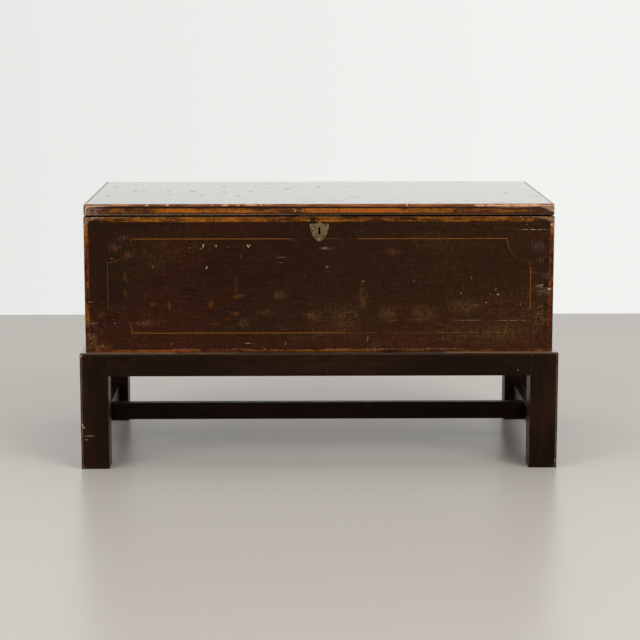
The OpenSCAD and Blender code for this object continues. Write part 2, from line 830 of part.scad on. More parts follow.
module lock_case() {
    color("#5f5a50") difference() {
        blank([-lock_case_w / 2, case_y, lock_plate_z],
            [lock_case_w, lock_case_d, selvedge_z - lock_plate_z]);
        blank([-lock_case_w / 2 + lock_case_t, case_y + lock_case_t, lock_plate_z + lock_case_t],
            [lock_case_w - 2 * lock_case_t, lock_case_d, selvedge_z - lock_plate_z]);
        keyhole_cut(case_y - cut_margin, case_y + lock_case_t + cut_margin);
    }
}

module lock_screws() {
    color("#8a7448") at_lock_screws() screw(lock_screw_l);
}

// The bolt lies drawn back at rest: each hook's nose ends before its link loop
module lock_bolt() {
    bar_l = 2 * link_x + hook_post_t + nose_l;
    color("#8d8778") translate([-link_x, link_y, 0]) difference() {
        translate([0, bolt_t / 2, 0]) rotate([90, 0, 0]) linear_extrude(bolt_t) {
            translate([hook_back_x, bolt_z]) square([bar_l, bolt_bar_h]);
            for (x = [hook_back_x, hook_back_x + 2 * link_x]) {
                translate([x, bolt_z]) square([hook_post_t, nose_z + nose_h - bolt_z]);
                translate([x, nose_z]) square([hook_post_t + nose_l, nose_h]);
            }
        }
        translate([link_x - bolt_throw / 2, 0, bolt_z])
            cube([talon_w, bolt_t + cut_margin, 2 * talon_h], center = true);
    }
}

module link_plate() {
    color("#77694a") difference() {
        union() {
            blank([-link_plate_w / 2, link_y - link_plate_d / 2, lid_z - lock_plate_t],
                [link_plate_w, link_plate_d, lock_plate_t]);
            for (side = [-1, 1])
                blank([side * link_x - link_t / 2, link_y - link_w / 2, link_low_z],
                    [link_t, link_w, lid_z - lock_plate_t - link_low_z + overlap]);
        }
        translate([0, link_y, eye_z + eye_h / 2]) cube([lock_plate_w, eye_w, eye_h], center = true);
        at_link_screws() screw_body(lid_screw_l);
    }
}

module link_plate_screws() {
    color("#8a7448") at_link_screws() screw(lid_screw_l);
}

// Escutcheon

module at_escutcheon_pins() {
    for (p = esc_pin_places)
        translate([p[0], front_face_y - shield_t, p[1]]) rotate([-90, 0, 0]) children();
}

// The shield's peak, from the foot of its left hollow over its rounded top to the right one's foot
function hollow_point(side, turn) =
    [side * (peak_reach - shield_hollow_r * sin(turn)), ear_z + shield_hollow_r * (1 - cos(turn))];
function top_point(turn) =
    [shield_peak_r * sin(turn), ear_z + shield_peak_h - shield_peak_r * (1 - cos(turn))];
function peak_points() = let (step = peak_turn / peak_steps) concat(
    [for (k = [0 : peak_steps - 1]) hollow_point(-1, k * step)],
    [for (k = [-peak_steps : peak_steps]) top_point(k * step)],
    [for (k = [peak_steps - 1 : -1 : 0]) hollow_point(1, k * step)]
);

module shield_outline() {
    intersection() {
        translate([side_x, side_z]) circle(shield_side_r);
        translate([-side_x, side_z]) circle(shield_side_r);
        union() {
            translate([-shield_w / 2, tip_meet_z]) square([shield_w, side_z - tip_meet_z]);
            translate([0, tip_centre_z]) circle(tip_r);
        }
    }
    translate([-shield_w / 2, side_z]) square([shield_w, shield_ear_h - shield_ear_r]);
    translate([-shield_w / 2 + shield_ear_r, side_z])
        square([shield_w - 2 * shield_ear_r, shield_ear_h]);
    for (s = [-1, 1])
        translate([s * (shield_w / 2 - shield_ear_r), ear_z - shield_ear_r]) circle(shield_ear_r);
    polygon(concat([[-peak_reach, side_z]], peak_points(), [[peak_reach, side_z]]));
}

module escutcheon() {
    color("#8c7d64") difference() {
        union() {
            translate([0, front_face_y, 0]) rotate([90, 0, 0])
                linear_extrude(shield_t) shield_outline();
            translate([0, front_face_y, keyhole_z]) rotate([90, 0, 0])
                linear_extrude(shield_t + keyhole_rim_h) keyhole_outline(keyhole_rim_w);
        }
        keyhole_cut(front_face_y - shield_t - cut_margin, front_face_y + cut_margin);
        at_escutcheon_pins() cylinder(r = esc_pin_r, h = esc_pin_l);
    }
}

module escutcheon_pins() {
    dome_r = (esc_pin_head_r * esc_pin_head_r + esc_pin_head_h * esc_pin_head_h) / (2 * esc_pin_head_h);
    color("#9c8a68") at_escutcheon_pins() {
        cylinder(r = esc_pin_r, h = esc_pin_l);
        intersection() {
            translate([0, 0, dome_r - esc_pin_head_h]) sphere(dome_r);
            translate([0, 0, -esc_pin_head_h]) cylinder(r = esc_pin_head_r, h = esc_pin_head_h);
        }
    }
}

leg(-1, -1);  // leg_front_left
leg(1, -1);  // leg_front_right
leg(-1, 1);  // leg_back_left
leg(1, 1);  // leg_back_right
rail_x(-1);  // front_rail
rail_x(1);  // back_rail
rail_y(-1);  // left_rail
rail_y(1);  // right_rail
side_stretcher(-1);  // left_stretcher
side_stretcher(1);  // right_stretcher
cross_stretcher();
front_board();
back_board();
side_board(-1);  // left_side_board
side_board(1);  // right_side_board
bottom_board(-1);  // bottom_board_front
bottom_board(1);  // bottom_board_back
bottom_battens();
bottom_batten_screws();
lid_board_front();
lid_board_back();
lid_batten(-1);  // lid_batten_left
lid_batten(1);  // lid_batten_right
lid_batten_screws();
hinge_leaf(-1, -1);  // hinge_box_leaf_left
hinge_leaf(1, -1);  // hinge_box_leaf_right
hinge_leaf(-1, 1);  // hinge_lid_leaf_left
hinge_leaf(1, 1);  // hinge_lid_leaf_right
hinge_pin(-1);  // hinge_pin_left
hinge_pin(1);  // hinge_pin_right
hinge_box_screws();
hinge_lid_screws();
escutcheon();
escutcheon_pins();
lock_plate();
lock_case();
lock_screws();
lock_bolt();
link_plate();
link_plate_screws();
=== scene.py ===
"""Finishes, stage, light and camera for a painted wooden box on its stand."""

import math

import bpy
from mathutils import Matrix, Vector


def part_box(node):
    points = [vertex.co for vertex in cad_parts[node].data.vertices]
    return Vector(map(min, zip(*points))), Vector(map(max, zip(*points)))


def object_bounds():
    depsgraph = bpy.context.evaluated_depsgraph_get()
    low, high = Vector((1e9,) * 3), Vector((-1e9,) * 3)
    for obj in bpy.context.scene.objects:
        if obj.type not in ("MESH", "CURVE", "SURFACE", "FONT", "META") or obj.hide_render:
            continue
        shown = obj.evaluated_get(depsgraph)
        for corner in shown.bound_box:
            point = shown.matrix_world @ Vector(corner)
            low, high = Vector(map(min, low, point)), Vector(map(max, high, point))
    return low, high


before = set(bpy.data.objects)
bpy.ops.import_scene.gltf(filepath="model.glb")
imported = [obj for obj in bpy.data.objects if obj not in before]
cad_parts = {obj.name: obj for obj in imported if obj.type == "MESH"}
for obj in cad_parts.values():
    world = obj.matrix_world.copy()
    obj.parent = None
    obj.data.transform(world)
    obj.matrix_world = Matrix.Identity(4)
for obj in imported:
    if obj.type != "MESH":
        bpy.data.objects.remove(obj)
CAD_LOW, CAD_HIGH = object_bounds()

bl_info = {
    "name": "Painted Box on Stand",
    "version": (1, 0, 0),
    "blender": (4, 5, 0),
    "location": "View3D > Sidebar > Painted Box",
    "description": "Worn paint, lacquer, wood and brass for a box on its stand, with a plain stage",
    "category": "Object",
}

MM = 0.001


# Groups of like pieces

LEGS = ("leg_front_left", "leg_front_right", "leg_back_left", "leg_back_right")
LONG_RAILS = ("front_rail", "back_rail")
SHORT_RAILS = ("left_rail", "right_rail")
SHORT_STRETCHERS = ("left_stretcher", "right_stretcher")
LONG_BOARDS = ("front_board", "back_board")
SHORT_BOARDS = ("left_side_board", "right_side_board")
BOTTOM_BOARDS = ("bottom_board_front", "bottom_board_back")
LID_BOARDS = ("lid_board_front", "lid_board_back")
LID_BATTENS = ("lid_batten_left", "lid_batten_right")
HINGE_LEAVES = ("hinge_box_leaf_left", "hinge_box_leaf_right", "hinge_lid_leaf_left", "hinge_lid_leaf_right")
HINGE_PINS = ("hinge_pin_left", "hinge_pin_right")
BRASS_SCREWS = ("hinge_box_screws", "hinge_lid_screws", "lock_screws", "link_plate_screws")
IRON_SCREWS = ("bottom_batten_screws", "lid_batten_screws")


def reach(nodes):
    """Lowest and highest corner of several nodes together."""
    boxes = [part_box(node) for node in nodes]
    low = Vector(min(box[0][axis] for box in boxes) for axis in range(3))
    high = Vector(max(box[1][axis] for box in boxes) for axis in range(3))
    return low, high


BOX_LOW, BOX_HIGH = reach(LONG_BOARDS + SHORT_BOARDS)
LID_LOW, LID_HIGH = reach(LID_BOARDS)
SHIELD_LOW, SHIELD_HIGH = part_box("escutcheon")

# Where painted shade blackens the inside of the lock and of the keyhole

LOCK_FACE = BOX_LOW.y + 16 * MM
LOCK_TOP = BOX_HIGH.z - 5 * MM
KEYHOLE_MIDDLE = (SHIELD_LOW.z + SHIELD_HIGH.z) / 2
KEYHOLE_WIDTH = 16 * MM
KEYHOLE_HEIGHT = 28 * MM

# Where the front's thin line is worn, in metres above the floor

RIGHT_LINE_FADES = (0.352, 0.362)
LEFT_ARC_FADES = (0.377, 0.387)
RIGHT_ARC_GAP = 0.372

# How far grain and streaks are drawn out along each axis

GRAIN_STRETCH = {"X": (14, 1, 1), "Y": (1, 14, 1), "Z": (1, 1, 14)}
STREAK_STRETCH = {"X": (8, 1, 1), "Y": (1, 8, 1), "Z": (1, 1, 8)}

# Wear along the front, in millimetres: middle, half length, strength

LID_BAND = (
    (-390, 22, 0.12), (-350, 16, 0.52), (-334, 7, 0.35), (-318, 9, 0.55), (-293, 10, 0.5), (-250, 34, 0.8),
    (-199, 15, 0.58), (-155, 28, 0.72), (-124, 13, 0.62), (-70, 42, 0.45), (60, 86, 0.95), (190, 44, 0.62),
    (258, 26, 0.45), (330, 44, 0.4), (395, 20, 0.26),
)
BOX_BAND = (
    (-400, 12, 0.05), (-378, 10, 0.35), (-335, 30, 0.47), (-268, 30, 0.5), (-190, 55, 0.66),
    (-82, 42, 0.48), (8, 40, 0.55), (-12, 4, 0.15), (95, 48, 0.4), (190, 42, 0.48), (300, 70, 0.45),
    (395, 18, 0.2),
)
FOOT_STRIP = (
    (-385, 16, 0.4), (-330, 45, 0.7), (-256, 30, 0.95), (-216, 6, 0.8), (-170, 30, 0.4), (-115, 20, 0.5),
    (-60, 30, 0.55), (-23, 14, 0.9), (50, 50, 0.7), (165, 20, 0.5), (397, 15, 0.6),
)
FOOT_PALE = (
    (-400, 14, 0.6), (-235, 25, 0.7), (-185, 20, 0.5), (-140, 18, 0.7), (-97, 3, 1.0), (-60, 28, 0.5),
    (35, 30, 0.8), (120, 45, 0.7), (210, 45, 0.6), (320, 60, 0.35),
)
# Dusty beige and painted sheen along the ledge.
LEDGE_DUST_AND_SHEEN = (
    (-340, 85, 0.7), (-190, 55, 0.45), (0, 140, 0.25), (330, 105, 0.9),
)
TOP_LINE = (
    (-188, 137, 0.8), (11, 62, 0.3), (204, 131, 0.7),
)
FOOT_LINE = (
    (-142, 188, 0.8), (130, 84, 0.3), (272, 58, 0.45),
)

# Marks on the front: across, height above the floor, half length, half height, tilt

BRIGHT_CHIPS = (
    (-204.7, 400, 0.9, 3, -15), (-182, 399.5, 0.9, 2.2), (-126.5, 399.5, 0.8, 2.6, 30),
    (-123.5, 399.5, 0.8, 2.6, -30), (-199, 361, 0.9, 2.6, -35), (312.6, 320.9, 1.4, 0.7, 30),
    (316.6, 312.2, 1.7, 1.1, 20), (296, 297.3, 1.5, 0.5), (407.4, 321.8, 3.2, 1.3),
    (410.4, 436.4, 2.5, 1.8),
)
DIM_CHIPS = (
    (9.5, 395.4, 5, 1.6), (-209, 395, 2.2, 1), (-228, 396, 1.8, 0.7), (-160.5, 397, 0.8, 0.8),
    (-138.4, 381.5, 0.8, 0.8), (-294, 363, 0.6, 2.4, 10), (-366, 377, 1.6, 1.2), (-26, 347.6, 1, 0.6),
    (-362, 262, 0.7, 1.4), (-262, 224.6, 0.8, 3, -40), (-60, 225, 0.7, 2.6), (273, 428, 0.6, 0.9),
    (365.6, 436.8, 1.4, 0.9), (74, 424.7, 0.6, 0.6), (14, 362, 2.5, 1.4), (77, 336, 2.2, 1.2),
    (168, 336, 1.2, 0.9), (269.4, 341.3, 0.7, 2.4, 12), (251, 314.4, 1.2, 1.6), (303, 313.5, 0.9, 0.9),
    (311, 332, 0.7, 0.7), (356.7, 294, 0.8, 2), (388, 277.7, 1.6, 0.7), (173, 388, 0.5, 0.5),
    (86, 233.4, 0.8, 4, -8),
)
BRIGHT_SCRATCHES = (
    (381, 427.7, 30, 0.45), (-125, 225.3, 6, 0.55),
)
DIM_SCRATCHES = (
    (-67, 379.3, 9, 0.35), (-69, 370, 5, 0.3), (166, 266.7, 12, 0.4), (261, 266, 24, 0.5),
    (340, 265.4, 26.5, 0.6), (277, 293.3, 6, 0.4), (390, 327.5, 8, 0.7, 5), (398, 330, 13, 0.5, 7),
    (404, 319, 8, 0.8, -5), (401, 324, 12, 0.5, -4), (399, 316, 12, 0.4, -12), (397, 292, 10, 0.4, 24),
    (400, 284, 9, 0.4, 18), (398, 268, 12, 0.4, -16), (-400, 262, 11, 0.5, 6), (-404, 300, 6, 0.4),
    (400, 410, 10, 0.4, -20),
)
OCHRE_BLOTCHES = (
    (-343, 315, 2.2, 8, 10), (-293, 296.5, 7, 4), (-266, 293.6, 4, 6), (-191.5, 293.6, 4.5, 6.5),
    (-143, 309.5, 10, 3.2, 8), (-149, 280, 9, 2.6), (-163, 269.5, 5, 2), (-386, 277, 8, 5, 30),
    (217, 233.4, 9, 1.8),
)
OLIVE_MOTTLES = (
    (-132.5, 262, 9, 8), (-97, 280, 14, 4), (-10, 274, 14, 9), (44, 274, 27, 17), (184, 278, 20, 12),
    (122, 278, 14, 12), (77, 304, 7, 22), (-147, 330, 3, 12), (-70, 312, 12, 8), (255, 290, 26, 12),
    (330, 245, 34, 12), (-343, 345, 3, 12, 10),
)
RED_RUBS = (
    (-17.6, 359, 3.5, 2.5), (-59, 330, 2, 10), (-358, 242.5, 3.5, 1.4), (-340, 381, 3, 4),
    (-305, 314, 3, 2), (-320, 411, 9, 4),
)
RED_CLOUDS = (
    (22, 340, 60, 70),
)
PINK_SMUDGES = (
    (-362, 398.6, 10, 6), (-345, 413.6, 8, 4), (-336, 383, 6, 5), (-309, 262, 20, 5), (-400, 217, 15, 5),
    (-404, 255, 11, 4), (14, 395, 12, 3), (128, 388, 12, 6),
)
# Grey haze by the right edge: old varnish, and painted sheen where the front catches the light.
GREY_HAZE_AND_SHEEN = (
    (386, 398, 11, 8), (400, 322, 16, 9), (396, 374, 9, 5), (402, 346, 7, 5), (378, 352, 8, 2),
)
RUSTY_SMUDGES = (
    (-405, 238, 10, 27), (-392, 219, 22, 7),
)
LID_CHIPS = (
    (-303, 471.5, 3.2, 1.2), (-267, 471.7, 3.4, 1.3), (-166, 471.5, 5, 1.4), (-187, 471.5, 1, 0.8),
    (-143, 471.5, 3, 0.8), (-121, 472, 10, 1), (-102, 472, 1.5, 1), (154, 471.5, 1.1, 1.8, 20),
    (283, 470.4, 10, 1.9), (302, 470.8, 9, 1.5), (320, 470.2, 22, 1.5), (329, 470.8, 6, 1.9),
    (358, 470.2, 17, 2.1), (380, 470.6, 9, 2.2),
)
DIM_LID_CHIPS = (
    (-348, 472, 20, 0.8), (-88, 472, 10, 0.8), (345, 470, 50, 2.6), (-42, 462, 1.2, 2.6, 5),
    (-46, 465, 2, 0.8), (-29, 461, 0.8, 1.6),
)
STAND_NICKS = (
    (-422.5, 205, 1.6, 2.2), (-421.5, 79, 1.2, 4, 10), (-418.5, 75, 1.6, 0.8, 20), (-409, 60.5, 9, 0.4),
    (-415.5, 53.6, 3, 0.4), (422, 13, 0.7, 3, 8), (353, 178, 1.2, 0.6),
)

# Dents in the lid's top, in millimetres: across, depth, half length, half depth, tilt

TOP_DENTS = (
    (-58, 64, 6.5, 5.8, 10), (-235, 20, 5.8, 5), (-213, -54, 4.3, 4.3), (-174, 3, 4.3, 5),
    (-126, 19, 4.3, 3.6), (-148, -71, 3.6, 4.3), (-119, 129, 3.6, 5), (-282, 21, 4.3, 3.6),
    (-342, 22, 5.8, 4.3), (-386, -67, 3.6, 5), (-385, 110, 4.3, 5), (-179, 113, 3.6, 4.3),
    (3, 111, 5.8, 4.3), (67, -89, 11.5, 2.5, 4), (38, -164, 10.1, 1.8), (-17, -179, 14.4, 2.2),
    (119, 210, 2.9, 4.3), (287, 208, 10.1, 3.6), (58, 104, 5, 3.6), (165, -187, 7.2, 2.9),
    (211, -202, 4.3, 3.6), (264, -167, 5.8, 2.9), (327, -195, 5, 2.9), (348, -24, 4.3, 4.3),
    (392, -93, 13, 2.5, 6),
)


def srgb(red, green, blue):
    """A colour as a picture shows it, 0 to 255, as the linear colour that a shader takes."""
    values = (red / 255, green / 255, blue / 255)
    return tuple(v / 12.92 if v <= 0.04045 else ((v + 0.055) / 1.055) ** 2.4 for v in values)


def colour(name, description, red, green, blue):
    """A colour setting, with its default as a picture shows it."""
    return bpy.props.FloatVectorProperty(
        name=name, description=description, subtype="COLOR", default=srgb(red, green, blue), min=0, max=1)


def length(name, description, default, low, high, scale=MM):
    """A length setting, in millimetres unless another scale is given."""
    return bpy.props.FloatProperty(
        name=name, description=description, subtype="DISTANCE", unit="LENGTH",
        default=default * scale, min=low * scale, max=high * scale)


def factor(name, description, default, low, high):
    """A setting without a unit."""
    return bpy.props.FloatProperty(
        name=name, description=description, subtype="FACTOR", default=default, min=low, max=high)


def power(name, description, default):
    """The power of a lamp, in watts."""
    return bpy.props.FloatProperty(
        name=name, description=description, unit="POWER", default=default, min=0, max=500)


def angle(name, description, degrees):
    """An angle setting, given in degrees."""
    return bpy.props.FloatProperty(
        name=name, description=description, subtype="ANGLE", unit="ROTATION", default=math.radians(degrees))


class PaintSettings(bpy.types.PropertyGroup):
    """Colours and sizes of the box's paint, its bands and its thin line."""

    ground: colour("Ground", "Dark brown paint of the box", 39, 21, 9)
    red_ground: colour("Red ground", "Where the red undercoat shows through", 52, 23, 12)
    olive_ground: colour("Olive ground", "Where old varnish hazes the paint", 82, 60, 29)
    grey_ground: colour("Bloom", "Where the paint has bloomed pinkish grey", 120, 76, 62)
    # Painted sheen: this grey is also laid by the front's right edge for its sheen.
    haze: colour("Haze", "Grey haze of old varnish by the right edge", 98, 84, 76)
    gold: colour("Gold", "Ochre-gold of the bands", 116, 68, 16)
    bright_gold: colour("Bright gold", "Bands where they are least worn", 153, 89, 18)
    faded_gold: colour("Faded gold", "Bands where they are most worn", 68, 36, 14)
    red_line: colour("Red line", "Thin red line beside the upright bands", 124, 42, 20)
    foot_strip: colour("Foot strip", "Rubbed orange strip along the box's foot", 150, 70, 34)
    foot_pale: colour("Foot pale line", "Pale worn line over the foot strip", 158, 112, 86)
    string: colour("Thin line", "Ochre line with hollowed corners", 134, 84, 26)
    # Painted shade: black laid inside the keyhole and the lock, where they lie in shade.
    painted_shade: colour("Grime", "Black grime inside the keyhole", 14, 9, 6)
    chip: colour("Chip", "Pale ground where paint has chipped off", 205, 168, 130)
    rubbed_wood: colour("Rubbed wood", "Wood at the arrises where the paint is rubbed off", 140, 98, 66)
    band_width: length("Band width", "Width of the gold bands", 9, 2, 20)
    red_line_place: length("Red line place", "Red line's distance from the upright edge", 7.8, 3, 30)
    red_line_width: length("Red line width", "Width of the red line", 2, 0.5, 5)
    foot_strip_height: length("Foot strip height", "Height of the rubbed strip along the foot", 3.4, 1, 15)
    string_width: length("Thin line width", "Width of the thin ochre line", 1.05, 0.3, 4)
    string_side_inset: length("Inset at the sides", "Thin line's distance from the upright edges", 41, 15, 90)
    string_top_inset: length("Inset at the top", "Thin line's distance from the box's top", 39, 15, 90)
    string_foot_inset: length("Inset at the foot", "Thin line's distance from the box's foot", 34, 15, 90)
    string_corner: length("Hollow corner radius", "Radius of the thin line's hollowed corners", 42, 5, 80)
    refraction: factor("Refraction", "Index of refraction of the old paint", 1.13, 1.05, 1.6)


class LidSettings(bpy.types.PropertyGroup):
    """Colours and sizes of the lid's paint and of the strips on its edges."""

    ground: colour("Ground", "Dark brown paint of the lid", 50, 28, 15)
    red_ground: colour("Red ground", "Where the lid's red undercoat shows", 70, 32, 16)
    arris: colour("Arris", "Rubbed red-brown strip along the top arris", 110, 64, 34)
    arris_chip: colour("Arris chip", "Pale pinkish wood in the chips of the arris", 222, 168, 132)
    # Also laid as painted light where the arris rounds onto the lid's ends.
    worn_wood_and_end_light: colour("Corner wood", "Pale worn wood at the lid's corners", 196, 158, 132)
    # Also laid as painted shade under the lid's edges.
    dark_dirt_and_shade: colour("Scratched line", "Dirt in the line scratched round the edge", 34, 16, 8)
    band_core: colour("Band core", "Redder middle of the band where it is least worn", 176, 72, 24)
    grey_line: colour("Grey line", "Greyish line near the lid's foot", 122, 106, 86)
    dusty: colour("Worn strip", "Worn strip on the top beside the front arris", 150, 110, 82)
    arris_height: length("Arris strip height", "From the lid's top to the foot of its arris strip", 4.4, 1, 6)
    band_top: length("Band top", "From the lid's top to the top of its gold band", 7.7, 4, 12)
    band_height: length("Band height", "Height of the gold band on the lid's edge", 7.6, 3, 12)
    grey_line_place: length("Grey line place", "Grey line's height above the lid's foot", 1.6, 1, 5)
    dusty_width: length("Worn strip width", "Width of the worn strip beside the front arris", 7, 2, 60)
    polish: factor("Polish", "Roughness of the lid's polished top", 0.08, 0.02, 0.6)
    refraction: factor("Refraction", "Index of refraction of the lid's paint", 1.2, 1.05, 1.6)


class StandSettings(bpy.types.PropertyGroup):
    """Colours and gloss of the stand's lacquer."""

    lacquer: colour("Lacquer", "Near-black brown lacquer", 26, 14, 7)
    thin_lacquer: colour("Thin lacquer", "Lacquer where it is thin over the wood", 40, 23, 12)
    rubbed: colour("Rubbed edge", "Brown of the rubbed arrises", 84, 48, 24)
    # Also laid as a painted highlight along the front's outer arrises.
    nick_and_highlight: colour("Nick", "Pale nicks and scratches", 170, 150, 122)
    # Painted sheen: this beige also stands for the sheen on the ledge's top.
    dust_and_sheen: colour("Dust", "Dusty beige on the ledge round the box", 134, 102, 72)
    gloss: factor("Roughness", "Roughness of the lacquer", 0.32, 0.02, 0.8)
    refraction: factor("Refraction", "Index of refraction of the old lacquer", 1.13, 1.05, 1.6)


class WoodSettings(bpy.types.PropertyGroup):
    """Colours of the unpainted wood inside and underneath."""

    pale: colour("Pale wood", "Softwood between the grain lines", 170, 128, 84)
    grain: colour("Grain", "Darker late wood of the grain lines", 138, 94, 56)
    dirt: colour("Dirt", "Old dirt and handling marks", 86, 60, 38)


class MetalSettings(bpy.types.PropertyGroup):
    """Colours of the brass and the iron."""

    brass: colour("Brass", "Rubbed brass", 176, 152, 116)
    brass_tarnish: colour("Tarnish", "Olive-brown tarnish in the hollows", 104, 88, 56)
    shield: colour("Shield", "Dull brass of the keyhole's shield", 114, 94, 66)
    shield_tarnish: colour("Shield tarnish", "Tarnished patches of the keyhole's shield", 84, 67, 42)
    # Also a painted highlight on the shield's rims.
    shield_rim_and_highlight: colour("Shield rim", "Rubbed rim of the shield and of its keyhole", 152, 132, 98)
    iron: colour("Iron", "Dull dark iron", 84, 80, 76)
    rust: colour("Rust", "Brown rust", 88, 54, 34)
    rim_width: length("Rim width", "Width of the rubbed rim round the shield", 1.6, 0.2, 5)


class StageSettings(bpy.types.PropertyGroup):
    """The floor, the pale wall colour of the room light, the lamps and the camera."""

    floor: colour("Floor", "Plain pale floor", 190, 184, 176)
    floor_gloss: factor("Floor roughness", "Roughness of the satin floor", 0.3, 0.02, 1)
    wall: colour("Wall", "Plain pale wall behind the floor", 238, 239, 236)
    floor_back: length("Floor back", "How far the floor reaches behind the object", 1.54, 0.8, 4, 1)
    floor_front: length("Floor front", "How far the floor reaches in front of the object", 4, 1.2, 8, 1)
    floor_half: length("Floor half width", "Half the floor's width", 4, 1.5, 8, 1)
    lens: bpy.props.FloatProperty(
        name="Lens", description="Focal length on a frame 36 mm wide", subtype="DISTANCE_CAMERA",
        unit="CAMERA", default=110.7, min=20, max=300)
    camera_place: bpy.props.FloatVectorProperty(
        name="Camera place", description="Where the camera stands", subtype="TRANSLATION",
        unit="LENGTH", default=(-0.047, -3.667, 0.821))
    camera_pitch: angle("Camera pitch", "How far the camera looks down", 9.13)
    camera_turn: angle("Camera turn", "How far the camera turns to the left", -0.8)
    key_power: power("Key lamp", "Power of the soft lamp on the right", 60)
    fill_power: power("Fill lamp", "Power of the soft lamp on the left", 38)
    top_power: power("Top lamp", "Power of the soft lamp overhead", 20)
    sky: factor("Room light", "Strength of the even light of the room", 0.46, 0, 1)


class Field:
    """A number, vector or colour that changes over a surface. Its sums add nodes to the finish."""

    def __init__(self, finish, socket):
        self.finish = finish
        self.socket = socket

    def __add__(self, other):
        return self.finish.math("ADD", self, other)

    def __radd__(self, other):
        return self.finish.math("ADD", other, self)

    def __sub__(self, other):
        return self.finish.math("SUBTRACT", self, other)

    def __rsub__(self, other):
        return self.finish.math("SUBTRACT", other, self)

    def __mul__(self, other):
        return self.finish.math("MULTIPLY", self, other)

    def __truediv__(self, other):
        return self.finish.math("DIVIDE", self, other)

    def __gt__(self, other):
        return self.finish.math("GREATER_THAN", self, other)

    def __abs__(self):
        return self.finish.math("ABSOLUTE", self)

    def fade(self, start, end, low=0, high=1):
        """Goes smoothly from low to high as this goes from start to end."""
        values = {"Value": self, "From Min": start, "From Max": end, "To Min": low, "To Max": high}
        return self.finish.node("ShaderNodeMapRange", values, interpolation_type="SMOOTHSTEP")

    def within(self, limit, soft):
        """Where this is less than a limit, with a soft edge."""
        return self.fade(limit + soft, limit - soft)

    def stripe(self, place, width, soft):
        """A stripe of that width, whose middle is where this equals place."""
        return abs(self - place).within(width / 2, soft)

    def wander(self, amount):
        """A noise turned into a number on both sides of zero."""
        return (self - 0.5) * amount


